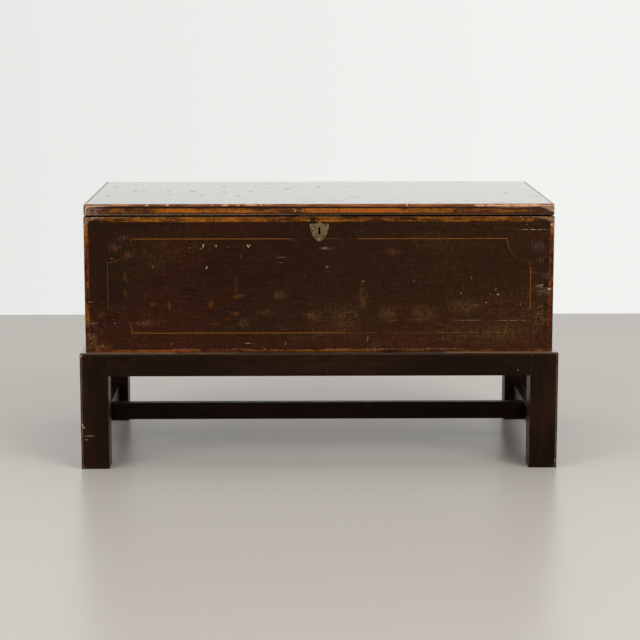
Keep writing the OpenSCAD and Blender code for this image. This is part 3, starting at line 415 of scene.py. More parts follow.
class Finish:
    """A material built from nodes, with short calls for what the finishes share."""

    ROWS = 12
    COLUMN_STEP = 220
    ROW_STEP = 170

    def __init__(self, name, seed):
        self.material = bpy.data.materials.new(name)
        self.material.use_nodes = True
        self.tree = self.material.node_tree
        self.tree.nodes.clear()
        self.seed = seed
        self.colour = None
        output = self.add("ShaderNodeOutputMaterial")
        self.surface = self.add("ShaderNodeBsdfPrincipled")
        self.tree.links.new(self.surface.outputs["BSDF"], output.inputs["Surface"])
        coordinates = self.add("ShaderNodeTexCoord")
        self.place = Field(self, coordinates.outputs["Object"])
        self.x, self.y, self.z = self.parts(self.place)
        self.facing_x, self.facing_y, self.facing_z = self.parts(Field(self, coordinates.outputs["Normal"]))

    def add(self, kind, **settings):
        """Adds a node and lays it out in columns."""
        node = self.tree.nodes.new(kind)
        count = len(self.tree.nodes)
        node.location = (-self.COLUMN_STEP * (count // self.ROWS), -self.ROW_STEP * (count % self.ROWS))
        for name, value in settings.items():
            setattr(node, name, value)
        return node

    def put(self, socket, value):
        """Links a field to a socket, or sets a plain value on it."""
        if isinstance(value, Field):
            self.tree.links.new(value.socket, socket)
        elif socket.type == "RGBA":
            socket.default_value = (*value, 1)
        else:
            socket.default_value = value

    def node(self, kind, values, output=0, **settings):
        """Adds a node with its inputs, by name or number, and gives one of its outputs."""
        node = self.add(kind, **settings)
        for name, value in values.items():
            self.put(node.inputs[name], value)
        return Field(self, node.outputs[output])

    def set(self, **values):
        """Sets or links the shader's own sockets, named with underscores for spaces."""
        for name, value in values.items():
            self.put(self.surface.inputs[name.replace("_", " ")], value)

    def parts(self, vector):
        """The three parts of a vector."""
        node = self.add("ShaderNodeSeparateXYZ")
        self.put(node.inputs[0], vector)
        return (Field(self, output) for output in node.outputs)

    def vector(self, *parts):
        """A vector from its three parts."""
        return self.node("ShaderNodeCombineXYZ", dict(enumerate(parts)))

    def math(self, operation, *values):
        """One sum on numbers."""
        return self.node("ShaderNodeMath", dict(enumerate(values)), operation=operation)

    def vector_math(self, operation, *values):
        """One sum on vectors."""
        output = "Value" if operation == "LENGTH" else "Vector"
        return self.node("ShaderNodeVectorMath", dict(enumerate(values)), output, operation=operation)

    def least(self, first, *others):
        """The smallest of several numbers."""
        for other in others:
            first = self.math("MINIMUM", first, other)
        return first

    def most(self, first, *others):
        """The largest of several numbers, or where any of several masks holds."""
        for other in others:
            first = self.math("MAXIMUM", first, other)
        return first

    def blend(self, mask, under, over):
        """One number over another where the mask holds."""
        return self.node("ShaderNodeMix", {0: mask, 2: under, 3: over}, data_type="FLOAT")

    def mix(self, mask, under, over):
        """One colour over another where the mask holds."""
        return self.node("ShaderNodeMix", {0: mask, 6: under, 7: over}, 2, data_type="RGBA")

    def shade(self, colour, amount):
        """A colour made lighter or darker by a number."""
        return self.vector_math("MULTIPLY", colour, self.vector(amount, amount, amount))

    def tone(self, amount):
        """Makes the finish lighter or darker by a number."""
        self.colour = self.shade(self.colour, amount)

    def dapple(self, noise, low, high):
        """Makes the finish darker and lighter with a noise."""
        self.tone(noise.fade(0.25, 0.75, low, high))

    def over(self, mask, colour):
        """Lays a colour on the finish where the mask holds."""
        self.colour = self.mix(mask, self.colour, colour)

    def noise(self, size, stretch=(1, 1, 1), seed=0, detail=3, roughness=0.55):
        """Noise with features about size metres across, longer along an axis by its stretch."""
        scaled = self.vector_math("MULTIPLY", self.place, tuple(1 / (size * part) for part in stretch))
        seed += self.seed
        shifted = self.vector_math("ADD", scaled, (seed * 3.7, seed * 5.3, seed * 7.1))
        values = {"Vector": shifted, "Scale": 1, "Detail": detail, "Roughness": roughness}
        return self.node("ShaderNodeTexNoise", values)

    def rugged(self, size, seed, stretch=(1, 1, 1)):
        """Noise with more and harder small detail."""
        return self.noise(size, stretch, seed, 4, 0.7)

    def along(self, stretches, base):
        """A strength that changes along X by a list of stretches in millimetres, over a base."""
        strength = base
        for middle, half, value in stretches:
            soft = min(10, 0.5 * half)
            inside = self.x.stripe(middle * MM, 2 * half * MM, soft * MM)
            strength = self.blend(inside, strength, value)
        return strength

    def marks(self, shapes, soft, rough=0, place=None):
        """Small marks from a list in millimetres and degrees, with outlines made ragged by a number."""
        distances = []
        for across, height, half_length, half_height, *tilt in shapes:
            middle = (across * MM, 0, height * MM)
            offset = self.vector_math("SUBTRACT", self.place if place is None else place, middle)
            if tilt:
                turn = {"Vector": offset, "Angle": math.radians(*tilt)}
                offset = self.node("ShaderNodeVectorRotate", turn, rotation_type="Y_AXIS")
            radii = (1 / (half_length * MM), 0, 1 / (half_height * MM))
            distances.append(self.vector_math("LENGTH", self.vector_math("MULTIPLY", offset, radii)))
        return (self.least(*distances) + rough).within(1, soft)

    def arris(self, low, high):
        """Distance from the nearest arris of a block, for a point on its surface."""
        sides = zip((self.x, self.y, self.z), low, high)
        x, y, z = (self.least(value - least, most - value) for value, least, most in sides)
        return self.most(self.least(x, y), self.least(self.most(x, y), z))

    def bump(self, height, depth, strength):
        """Small relief: depth metres where height is 1."""
        values = {"Strength": strength, "Distance": depth, "Height": height}
        self.set(Normal=self.node("ShaderNodeBump", values))


def wood_colour(finish, axis, seed=0):
    """Colour and relief of old unpainted softwood, with its grain along an axis."""
    wood = bpy.context.scene.painted_box_wood
    stretch = GRAIN_STRETCH[axis]
    sweep = finish.noise(0.05, stretch, seed, detail=1)
    late_wood = finish.math("SINE", sweep * 150).fade(0, 1)
    fibres = finish.noise(0.0018, tuple(part * 2 for part in stretch), seed + 1, detail=2)
    patches = finish.noise(0.05, stretch, seed + 3).fade(0.3, 0.7, 0.25, 0.85)
    colour = finish.mix(late_wood * patches, wood.pale, wood.grain)
    colour = finish.shade(colour, fibres.fade(0.2, 0.8, 0.84, 1.1))
    dirt = finish.noise(0.09, seed=seed + 2, detail=4).fade(0.5, 0.78, 0, 0.45)
    return finish.mix(dirt, colour, wood.dirt), late_wood * 0.4 + fibres


class WornPaint(Finish):
    """Dark worn paint with gilded bands, as the box and its lid share."""

    def __init__(self, name, axis, seed):
        super().__init__(name, seed)
        self.paint = bpy.context.scene.painted_box_paint
        self.lid = bpy.context.scene.painted_box_lid
        self.axis = axis
        self.front = self.facing_y.fade(-0.3, -0.7)
        self.dressed = 1 - self.facing_y.fade(0.5, 0.9)
        self.fibres = self.noise(0.0035, GRAIN_STRETCH[axis], 4)
        self.crackle = self.rugged(0.0045, 6)
        self.fine = self.noise(0.0018, seed=7)
        self.patches = self.rugged(0.012, 8)
        self.rough = self.fine.wander(1.9)
        self.wavy = self.patches.wander(1.4 * MM)
        self.cracks = self.noise(0.0022, (1, 1, 9), 21, detail=2)
        across = self.noise(0.0028, (6, 6, 1), 16)
        upright = self.noise(0.0028, (1, 1, 6), 17)
        self.weave = (across + upright) * 0.5
        self.flecked = (self.fine + self.crackle.wander(0.8)).fade(0.36, 0.6, 0.3, 1)
        self.broken = (self.rugged(0.004, 18) + upright.wander(0.5)).fade(0.38, 0.64, 0.1, 1)

    def gilding(self, strength, streaks):
        """Gold of a band and where it is kept, for its strength there."""
        value = streaks.wander(1.7) + self.fine.wander(0.9) + self.crackle.wander(0.9) + strength
        gold = self.mix(value.fade(0.35, 0.6), self.paint.faded_gold, self.paint.gold)
        gold = self.mix(value.fade(0.65, 0.9), gold, self.paint.bright_gold)
        gold = self.shade(gold, self.cracks.fade(0.36, 0.5, 0.72, 1.04))
        return gold, value.fade(0.05, 0.35)

    def close(self, painted, wood_relief, gloss, relief, depth, strength, **values):
        """Sets colour, gloss and relief, with bare wood where it isn't painted. Gives the material."""
        self.set(Base_Color=self.colour, Roughness=self.blend(painted, 0.72, gloss), **values)
        self.bump(self.blend(painted, wood_relief, relief), depth, strength)
        return self.material


class BoxPaint(WornPaint):
    """The box's paint: a dark ground, gold bands, a thin ochre line, and bare wood inside."""

    def __init__(self, name, axis, seed):
        super().__init__(name, axis, seed)
        on_side = abs(self.facing_x) > abs(self.facing_y)
        self.upright = self.blend(on_side, BOX_HIGH.x - abs(self.x), BOX_HIGH.y - abs(self.y))
        self.below_top = BOX_HIGH.z - self.z
        self.above_foot = self.z - BOX_LOW.z
        self.has_front = axis == "X"

    def on_front(self, base, stretches):
        """A strength that follows a list along the front and is even elsewhere."""
        if not self.has_front:
            return base
        return self.blend(self.front, base, self.along(stretches, base))

    def lay_ground(self):
        """Dark brown with its red undercoat and olive haze, lighter towards the foot, with painted light that
        grows towards the front's right.
        """
        paint = self.paint
        clouds = self.noise(0.16, (1.8, 1.8, 1), detail=4)
        haze = self.noise(0.11, (2.4, 2.4, 1), 3, detail=5, roughness=0.65)
        self.colour = self.mix(clouds.fade(0.52, 0.78), paint.ground, paint.red_ground)
        self.over(haze.fade(0.5, 0.75) * self.broken * 0.34, paint.olive_ground)
        self.over(self.above_foot.fade(0.045, 0.02) * haze.fade(0.7, 0.4) * 0.6, paint.red_ground)
        self.tone(self.weave.fade(0.36, 0.64, 0.82, 1.22))
        self.dapple(self.crackle, 0.8, 1.28)
        self.dapple(self.fibres, 0.88, 1.14)
        # Lighter towards the foot and a little darker towards the top.
        self.tone(self.above_foot.fade(0.02, 0.16, 1.24, 0.95))
        if self.has_front:
            # Painted light: the front is darker on its left and lighter on its right, as the light falls on
            # it.
            self.tone(self.blend(self.front, 1, self.x.fade(-0.25, 0.4, 0.84, 1.24)))
            cracked = self.front * self.x.fade(0.26, 0.36) * self.above_foot.fade(0.13, 0.07)
            self.tone(self.blend(cracked, 1, self.crackle.fade(0.34, 0.66, 0.82, 1.2)))

    def lay_clouds(self):
        """Blotches and hazes of the front, from the lists, with painted sheen in the grey haze by the right
        edge, and scuffs along it.
        """
        paint = self.paint
        clouded = self.crackle.wander(2.2)
        for shapes, colour, strength, soft in (
            (RED_CLOUDS, paint.red_ground, 0.5, 0.7),
            (OLIVE_MOTTLES, paint.olive_ground, 0.95, 0.7),
            (PINK_SMUDGES, paint.grey_ground, 0.5, 0.7),
            (OCHRE_BLOTCHES, paint.gold, 0.68, 0.6),
            (RED_RUBS, paint.red_line, 0.32, 0.6),
            (GREY_HAZE_AND_SHEEN, paint.haze, 0.5, 0.7),
        ):
            mask = self.marks(shapes, soft, clouded)
            self.over(mask * self.front * self.broken * self.flecked * strength, colour)
        streaks = self.noise(0.0032, (9, 9, 1), 22, detail=4, roughness=0.65)
        scuffs = streaks.fade(0.55, 0.72) * self.broken * self.above_foot.fade(0.15, 0.03, 0.3, 1)
        self.over(scuffs * 0.4, paint.grey_ground)

    def lay_bands(self):
        """Gold bands along the top and up the sides."""
        width = self.paint.band_width
        streaks = self.noise(0.0035, STREAK_STRETCH[self.axis], 14)
        gold, kept = self.gilding(self.on_front(0.5, BOX_BAND), streaks)
        band = (self.below_top + self.wavy).within(width, 0.5 * MM)
        self.over(band * kept * self.dressed, gold)
        streaks = self.noise(0.0035, STREAK_STRETCH["Z"], 15)
        worn_foot = self.above_foot.fade(0.03, 0.06, -0.3, 0)
        worn_side = self.noise(0.03, (1, 1, 2), 19).fade(0.35, 0.65, -0.3, 0.15)
        gold, kept = self.gilding(worn_foot + worn_side + 0.45, streaks)
        band = (self.upright + self.wavy).within(width - 1.5 * MM, 0.6 * MM)
        self.over(band * kept * self.dressed, gold)

    def lay_red_line(self):
        """The red line beside the upright bands, and rust round the front's lower left corner."""
        paint = self.paint
        line = (self.upright + self.wavy).stripe(paint.red_line_place, paint.red_line_width, 0.5 * MM)
        line = line * self.below_top.fade(0.02, 0.03) * self.above_foot.fade(0.03, 0.05, 0.3, 1)
        self.over(line * self.crackle.fade(0.4, 0.6) * self.dressed * 0.7, paint.red_line)
        if self.has_front:
            rusty = self.marks(RUSTY_SMUDGES, 0.6, self.crackle.wander(2)) * self.front
            self.over(rusty * 0.7, paint.ground)
            speckled = self.mix(self.fine.fade(0.56, 0.74), self.lid.arris, paint.chip)
            self.over(rusty * self.crackle.fade(0.4, 0.6) * 0.7, speckled)

    def line_strength(self, side, level, upper):
        """How well the thin line is kept on its level lines, its upright lines and its arcs."""
        strength = self.blend(upper, self.on_front(0.5, FOOT_LINE), self.on_front(0.5, TOP_LINE))
        upright = self.x.fade(-0.1, 0.1, 0.4, self.z.fade(*RIGHT_LINE_FADES, 0.95, 0.45))
        strength = self.blend(side > level, upright, strength)
        right = abs(self.z - RIGHT_ARC_GAP).fade(0.005, 0.013, 0.12, 0.5)
        arcs = self.blend(self.x.fade(-0.1, 0.1), self.z.fade(*LEFT_ARC_FADES, 0.44, 0.16), right)
        arcs = arcs * self.z.fade(BOX_LOW.z + 0.1, BOX_HIGH.z - 0.1, 0.5, 1)
        arcs = self.most(arcs, self.above_foot.fade(0.062, 0.048, 0, 0.5))
        edge = self.paint.string_corner
        on_arc = side.fade(edge, edge - 0.2 * MM) * level.fade(edge, edge - 0.2 * MM)
        return self.blend(on_arc, strength, arcs)

    def lay_thin_line(self):
        """The thin ochre line: level lines, upright lines and the arcs of its hollowed corners."""
        paint = self.paint
        side = self.upright - paint.string_side_inset
        top = self.below_top - paint.string_top_inset
        foot = self.above_foot - paint.string_foot_inset
        level = self.least(top, foot)
        from_arc = self.vector_math("LENGTH", self.vector(side, level, 0)) - paint.string_corner
        line = self.least(side, level, from_arc).stripe(0, paint.string_width, 0.35 * MM)
        gaps = self.noise(0.02, seed=9, detail=4, roughness=0.75)
        strength = self.line_strength(side, level, foot > top)
        kept = (strength + gaps.wander(1.4) + self.fine.wander(0.6)).fade(0.1, 0.85)
        self.over(line * kept * self.dressed, paint.string)

    def lay_foot(self):
        """The rubbed orange strip along the foot, with a pale line over it."""
        paint = self.paint
        height = paint.foot_strip_height
        gaps = self.rugged(0.012, 10, (3, 3, 1))
        strength = self.on_front(0.35, ((0, 440, 0.3), *FOOT_STRIP)) + gaps.wander(1.3)
        strip = (self.above_foot + self.crackle.wander(5 * MM)).within(height, 1.2 * MM)
        kept = strength.fade(0.15, 0.85) * self.weave.fade(0.36, 0.6, 0.45, 1)
        ochre = self.noise(0.03, (3, 3, 1), 11).fade(0.42, 0.58)
        self.over(strip * kept, self.mix(ochre, paint.foot_strip, paint.bright_gold))
        strength = self.on_front(0.1, ((0, 440, 0.22), *FOOT_PALE)) + gaps.wander(0.8)
        line = (self.above_foot + self.wavy).stripe(height + 1.4 * MM, 1.3 * MM, 0.6 * MM)
        self.over(line * strength.fade(0.3, 0.8) * self.broken * 0.8, paint.foot_pale)

    def lay_wear(self):
        """Rubbed arrises and corners. Gives the mask of the wood that shows."""
        paint = self.paint
        rubbed = (self.arris(BOX_LOW, BOX_HIGH) + self.patches * (2.8 * MM)).fade(2.7 * MM, 1.4 * MM)
        rubbed = rubbed * self.crackle.fade(0.35, 0.6, 0.35, 0.9)
        self.over(rubbed, paint.rubbed_wood)
        corner = self.upright * self.below_top + self.crackle.wander(160 * MM * MM)
        corner = corner.fade(110 * MM * MM, 30 * MM * MM) * self.broken
        self.over(corner * 0.75, self.mix(self.fine.fade(0.4, 0.6), paint.grey_ground, paint.chip))
        return self.most(rubbed, corner)

    def lay_chips(self):
        """Chips and scratches, from the lists on the front and scattered elsewhere. Gives their mask."""
        flecks = self.noise(0.006, seed=12, detail=1).fade(0.76, 0.8)
        chips = flecks * self.noise(0.09, seed=13).fade(0.52, 0.6) * (1 - self.front) * 0.6
        if self.has_front:
            worn = self.patches.fade(0.42, 0.55, 0.12, 1)
            chips = self.most(
                chips,
                self.marks(BRIGHT_CHIPS, 0.4, self.rough) * self.front * 0.8,
                self.marks(DIM_CHIPS, 0.5, self.rough) * self.front * 0.28,
                self.marks(BRIGHT_SCRATCHES, 0.5) * self.front * worn * 0.75,
                self.marks(DIM_SCRATCHES, 0.5) * self.front * worn * 0.34,
            )
        self.over(chips, self.shade(self.paint.chip, self.crackle.fade(0.3, 0.7, 0.7, 1.1)))
        return chips

    def blacken_keyhole(self):
        """Painted shade: black on the front board's wood inside the keyhole."""
        level = self.z.stripe(KEYHOLE_MIDDLE, KEYHOLE_HEIGHT, 1 * MM)
        patch = self.x.stripe(0, KEYHOLE_WIDTH, 1 * MM) * level
        self.over(patch * self.y.fade(LOCK_FACE, LOCK_FACE - 3 * MM), self.paint.painted_shade)

    def make(self):
        """Lays everything in order. Gives the material."""
        self.lay_ground()
        if self.has_front:
            self.lay_clouds()
        self.lay_bands()
        self.lay_red_line()
        self.lay_thin_line()
        self.lay_foot()
        worn = self.most(self.lay_wear(), self.lay_chips())
        wood, wood_relief = wood_colour(self, self.axis, 20)
        outward = self.facing_x * self.x + self.facing_y * self.y
        upward = self.facing_z.fade(0.3, 0.6)
        painted = self.most(outward > 0.01, upward)
        self.colour = self.mix(painted, wood, self.colour)
        # The top faces of the boards get the dark ground: paint on the rim, and painted shade in the gap
        # under the lid.
        self.over(upward * 0.85, self.paint.ground)
        if self.has_front:
            self.blacken_keyhole()
        gloss = self.blend(worn, self.crackle.fade(0.3, 0.7, 0.34, 0.46), 0.65)
        relief = self.fibres * 0.25 - worn
        return self.close(
            painted, wood_relief, gloss, relief, 0.25 * MM, 0.5, IOR=self.paint.refraction)


class LidPaint(WornPaint):
    """The lid's paint: polished on top, with strips and chips on its edges."""

    def __init__(self, name, seed):
        super().__init__(name, "X", seed)
        self.below_top = LID_HIGH.z - self.z
        self.above_foot = self.z - LID_LOW.z
        self.from_ends = LID_HIGH.x - abs(self.x)
        self.from_faces = LID_HIGH.y - abs(self.y)
        self.top = self.facing_z.fade(0.9, 0.985)
        self.edge = 1 - self.top
        self.level = self.below_top + self.patches.wander(1 * MM)
        self.streaks = self.noise(0.0032, (8, 8, 1), 14)

    def lay_ground(self):
        """Dark brown with its red undercoat."""
        clouds = self.noise(0.14, (2, 1, 1), detail=4)
        self.colour = self.mix(clouds.fade(0.45, 0.72), self.lid.ground, self.lid.red_ground)
        self.tone(self.weave.fade(0.36, 0.64, 0.75, 1.3))
        self.dapple(self.crackle, 0.82, 1.25)

    def lay_band(self):
        """The gold band round the edge, redder in its middle where it is least worn."""
        lid = self.lid
        strength = self.blend(self.front, 0.45, self.along(LID_BAND, 0.45))
        gold, kept = self.gilding(strength, self.streaks)
        middle = lid.band_top + lid.band_height / 2
        band = self.level.stripe(middle, lid.band_height, 0.5 * MM) * self.edge * self.dressed
        self.over(band * kept, gold)
        red = self.level.stripe(middle + 0.4 * MM, 2.2 * MM, 0.8 * MM) * strength.fade(0.6, 0.9)
        red = red * self.streaks.fade(0.3, 0.55, 0.3, 1) * self.edge * self.front
        self.over(red * 0.75, lid.band_core)

    def lay_lines(self):
        """The grey line near the foot, the scratched line and the rubbed strip at the arris, lighter from the
        middle to the right, with painted light where it rounds onto the ends.
        """
        lid = self.lid
        grey = self.above_foot.stripe(lid.grey_line_place, 1.3 * MM, 0.5 * MM) * self.edge
        grey = grey * self.patches.fade(0.34, 0.54, 0.3, 1) * self.fine.fade(0.35, 0.6, 0.35, 1)
        self.over(grey * self.x.fade(-0.12, 0, 1, 0.25), lid.grey_line)
        middle = (lid.arris_height + lid.band_top) / 2
        self.over(self.below_top.stripe(middle, 2.6 * MM, 0.4 * MM) * self.edge, lid.dark_dirt_and_shade)
        level = self.level + self.x.fade(-0.1, 0.1, 0.4 * MM, -0.8 * MM)
        colour = self.shade(lid.arris, self.streaks.fade(0.35, 0.65, 0.6, 1.6))
        colour = self.shade(colour, self.fine.fade(0.3, 0.7, 0.75, 1.2))
        colour = self.shade(colour, self.x.fade(-0.08, 0.02, 1, 1.3))
        # Where the arris rounds onto the ends it turns pale: worn wood, and painted light on faces that get
        # little light.
        pale_and_lit_ends = abs(self.facing_x).fade(0.15, 0.5) * self.below_top.fade(3 * MM, 2 * MM)
        colour = self.mix(pale_and_lit_ends, colour, lid.worn_wood_and_end_light)
        self.over(level.within(lid.arris_height, 0.4 * MM) * self.edge, colour)

    def lay_corners(self):
        """Wood worn bare round the lid's corners. Gives its mask."""
        aside = self.blend(self.front, self.most(self.from_ends, self.from_faces), self.from_ends)
        wander = self.crackle.wander(5 * MM)

        # A pale line that turns round the left corner, over mottled wood
        turned = aside * self.below_top / (aside + self.below_top) + self.patches.wander(1.6 * MM)
        left = turned.stripe(3 * MM, 1.5 * MM, 0.6 * MM) * aside.fade(55 * MM, 25 * MM)
        mottled = (aside + wander).fade(45 * MM, 15 * MM) * self.broken * 0.45

        # Bare wood that widens towards the right corner
        right = (self.below_top + aside * 0.42 + wander).fade(17 * MM, 13 * MM)
        right = right * self.below_top.fade(1.6 * MM, 2.6 * MM) * aside.fade(0.8 * MM, 1.8 * MM)
        on_right = self.x.fade(-0.05, 0.05)
        corner = self.blend(on_right, self.most(left, mottled), right) * self.edge * self.dressed
        shade = self.streaks.fade(0.38, 0.62, 0.55, 1.1) * self.fine.fade(0.35, 0.65, 0.6, 1.2)
        shade = self.blend(left * (1 - on_right), shade, 1.05)
        self.over(corner * 0.9, self.shade(self.lid.worn_wood_and_end_light, shade))
        return corner

    def lay_chips(self):
        """Chips along the arris, from the lists on the front and scattered elsewhere. Gives their mask."""
        ragged = self.arris(LID_LOW, LID_HIGH) + self.rugged(0.014, 12, (2, 2, 1)) * (9 * MM)
        loose = ragged.fade(4.4 * MM, 3.4 * MM) * self.above_foot.fade(6 * MM, 12 * MM)
        chips = self.most(
            loose * (1 - self.front),
            self.marks(LID_CHIPS, 0.3, self.rough) * self.front,
            self.marks(DIM_LID_CHIPS, 0.4, self.rough) * self.front * 0.5,
        )
        self.over(chips * 0.9, self.shade(self.lid.arris_chip, self.patches.fade(0.3, 0.7, 0.75, 1.05)))
        return chips

    def lay_top(self):
        """Dents, dull spots and a worn strip on the top. Gives what cuts the polish, and the strip."""
        lid = self.lid
        dents = self.marks(TOP_DENTS, 0.4, self.rough, self.vector(self.x, 0, self.y))
        dents = dents * self.crackle.fade(0.35, 0.55, 0.4, 1)
        clusters = self.noise(0.12, seed=15).fade(0.42, 0.6)
        spots = self.noise(0.012, seed=16, detail=2).fade(0.62, 0.72) * clusters * 0.5
        long_marks = self.noise(0.006, (9, 1, 1), 17, detail=2).fade(0.6, 0.75) * 0.4
        near_edge = self.least(self.from_ends, LID_HIGH.y - self.y) + self.patches.wander(9 * MM)
        cut = self.most(dents, spots, long_marks, near_edge.fade(8 * MM, 3 * MM) * 0.7) * self.top
        self.over(cut * 0.45, lid.dark_dirt_and_shade)
        from_front = self.y - LID_LOW.y + self.patches.wander(6 * MM)
        dusty = from_front.fade(lid.dusty_width, lid.dusty_width / 2) * self.top
        self.over(dusty * self.broken * 0.5, lid.dusty)
        return cut, dusty

    def make(self):
        """Lays everything in order. Gives the material."""
        lid = self.lid
        self.lay_ground()
        self.lay_band()
        self.lay_lines()
        bare = self.most(self.lay_corners(), self.lay_chips())
        cut, dusty = self.lay_top()
        wood, wood_relief = wood_colour(self, "X", 20)
        # The underside's wood darkens near its edges: dirt, and painted shade in the gap over the box.
        edge_dirt_and_shade = self.least(self.from_ends, self.from_faces).fade(14 * MM, 4 * MM, 0, 0.9)
        painted = self.facing_z.fade(-0.7, -0.5)
        self.colour = self.mix(painted, self.mix(edge_dirt_and_shade, wood, lid.dark_dirt_and_shade), self.colour)
        gloss = self.blend(cut, self.blend(dusty, lid.polish, 0.25), 0.45)
        gloss = self.blend(self.edge, gloss, self.blend(bare, 0.4, 0.65))
        coat = self.top * (1 - cut * 0.95) * (1 - bare * self.edge)
        relief = self.fibres * 0.1 - self.most(bare, cut)
        return self.close(
            painted, wood_relief, gloss, relief, 0.12 * MM, 0.4,
            IOR=lid.refraction, Coat_Weight=coat, Coat_Roughness=0.05)


class Lacquer(Finish):
    """The stand's near-black lacquer, thin in places and rubbed brown at the arrises."""

    def __init__(self, node, axis, seed):
        super().__init__("lacquer_" + node, seed)
        self.stand = bpy.context.scene.painted_box_stand
        self.low, self.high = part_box(node)
        self.in_front = self.low.y < BOX_LOW.y
        self.stretch = GRAIN_STRETCH[axis]
        self.ledge = self.facing_z.fade(0.6, 0.9) * self.z.fade(BOX_LOW.z - 12 * MM, BOX_LOW.z - 6 * MM)
        self.patches = self.rugged(0.012, 2)

    def lay_lacquer(self):
        """Near-black, thinner in clouds and streaks along the grain. Gives the streaks."""
        fibres = self.noise(0.004, self.stretch)
        clouds = self.noise(0.07, tuple(math.sqrt(part) for part in self.stretch), 1, detail=4)
        self.colour = self.mix(clouds.fade(0.45, 0.75), self.stand.lacquer, self.stand.thin_lacquer)
        self.dapple(fibres, 0.75, 1.25)
        return fibres

    def lay_dust_and_sheen(self):
        """Dusty beige on the ledge round the box: dirt, and painted sheen where its top catches the light."""
        dust_and_sheen = self.ledge * self.z.fade(self.high.z - 4 * MM, self.high.z - 1 * MM)
        if self.in_front:
            streaks = self.noise(0.01, (4, 1, 1), 7)
            dust_and_sheen = dust_and_sheen * (self.along(LEDGE_DUST_AND_SHEEN, 0.35) + streaks.wander(0.8)).fade(0.1, 0.9)
        self.over(dust_and_sheen * 0.75, self.stand.dust_and_sheen)

    def lay_wear(self):
        """Rubbed arrises, dusty ledge with painted sheen, pale nicks, and a pale line along the front's outer
        arrises that is rubbing and painted highlight. Gives where the lacquer is worn.
        """
        stand = self.stand
        distance = self.arris(self.low, self.high)
        rubbed = (distance + self.patches * (3.2 * MM)).fade(2.8 * MM, 1.3 * MM, 0, 0.8)
        self.over(rubbed, stand.rubbed)
        self.lay_dust_and_sheen()
        nicks = self.noise(0.006, seed=3, detail=1).fade(0.78, 0.82)
        nicks = nicks * self.noise(0.09, seed=4).fade(0.54, 0.6) * 0.4
        if not self.in_front:
            self.over(nicks, stand.nick_and_highlight)
            return self.most(rubbed, nicks)
        front = self.facing_y.fade(-0.3, -0.7)
        rough = self.noise(0.0018, seed=6).wander(1.2)
        nicks = self.most(nicks, self.marks(STAND_NICKS, 0.4, rough) * front * 0.8)
        self.over(nicks, stand.nick_and_highlight)
        # A pale line inside the front's outer arrises and along the top: rubbing, and a painted highlight
        # where the rounded arris catches the light.
        outer = self.most(
            abs(self.x).fade(CAD_HIGH.x - 8 * MM, CAD_HIGH.x - 6 * MM),
            self.z.fade(BOX_LOW.z - 8 * MM, BOX_LOW.z - 6 * MM, 0, 0.35),
        )
        line = front * outer * distance.stripe(2.8 * MM, 1.1 * MM, 0.5 * MM)
        self.over(line * self.patches.fade(0.3, 0.6, 0.2, 1) * 0.4, stand.nick_and_highlight)
        return self.most(rubbed, nicks)

    def make(self):
        """Lays everything in order. Gives the material."""
        gloss = self.stand.gloss
        fibres = self.lay_lacquer()
        worn = self.lay_wear()
        gloss = self.patches.fade(0.3, 0.7, gloss - 0.05, gloss + 0.1)
        self.set(
            Base_Color=self.colour, Roughness=self.blend(worn, gloss, 0.5), IOR=self.stand.refraction,
            Coat_Weight=self.ledge, Coat_Roughness=0.12)
        self.bump(fibres * 0.3 - worn, 0.15 * MM, 0.4)
        return self.material


def dress(material, *nodes):
    """Gives CAD nodes a material."""
    for name in nodes:
        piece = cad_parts[name]
        for slot in piece.material_slots:
            slot.material = material
        if not piece.material_slots:
            piece.data.materials.append(material)


def lacquer(nodes, axis, seed):
    """Gives each node a lacquer of its own, with streaks along an axis."""
    for index, node in enumerate(nodes):
        dress(Lacquer(node, axis, seed + index).make(), node)


def bare_wood(name, axis, seed):
    """Old unpainted wood."""
    finish = Finish(name, seed)
    colour, relief = wood_colour(finish, axis)
    finish.set(Base_Color=colour, Roughness=0.72, IOR=1.35)
    finish.bump(relief, 0.2 * MM, 0.5)
    return finish.material


def aged_metal(kind, nodes, bright, dull, seed, roughness, shaded_in_lock=False):
    """Gives each node old metal, bright at its edges, dull in its hollows, and painted black as shade in the
    lock.
    """
    for index, node in enumerate(nodes):
        finish = Finish(kind + "_" + node, seed + index)
        patches = finish.noise(0.004, detail=4, roughness=0.65)
        fine = finish.noise(0.0008, seed=1)
        tarnish = patches.fade(0.38, 0.62) * finish.arris(*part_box(node)).fade(0, 2.5 * MM, 0.2, 1)
        colour = finish.shade(finish.mix(tarnish, bright, dull), fine.fade(0.3, 0.7, 0.85, 1.1))
        if shaded_in_lock:
            # Painted shade: black on the lock plate behind the keyhole.
            inside = finish.y.fade(LOCK_FACE + 0.4 * MM, LOCK_FACE)
            inside = inside * finish.z.fade(LOCK_TOP, LOCK_TOP - 1 * MM)
            colour = finish.mix(inside, colour, bpy.context.scene.painted_box_paint.painted_shade)
        finish.set(
            Base_Color=colour, Metallic=tarnish.fade(0, 1, 0.85, 0.45),
            Roughness=tarnish.fade(0, 1, roughness, roughness + 0.2))
        finish.bump(patches + fine, 0.08 * MM, 0.4)
        dress(finish.material, node)


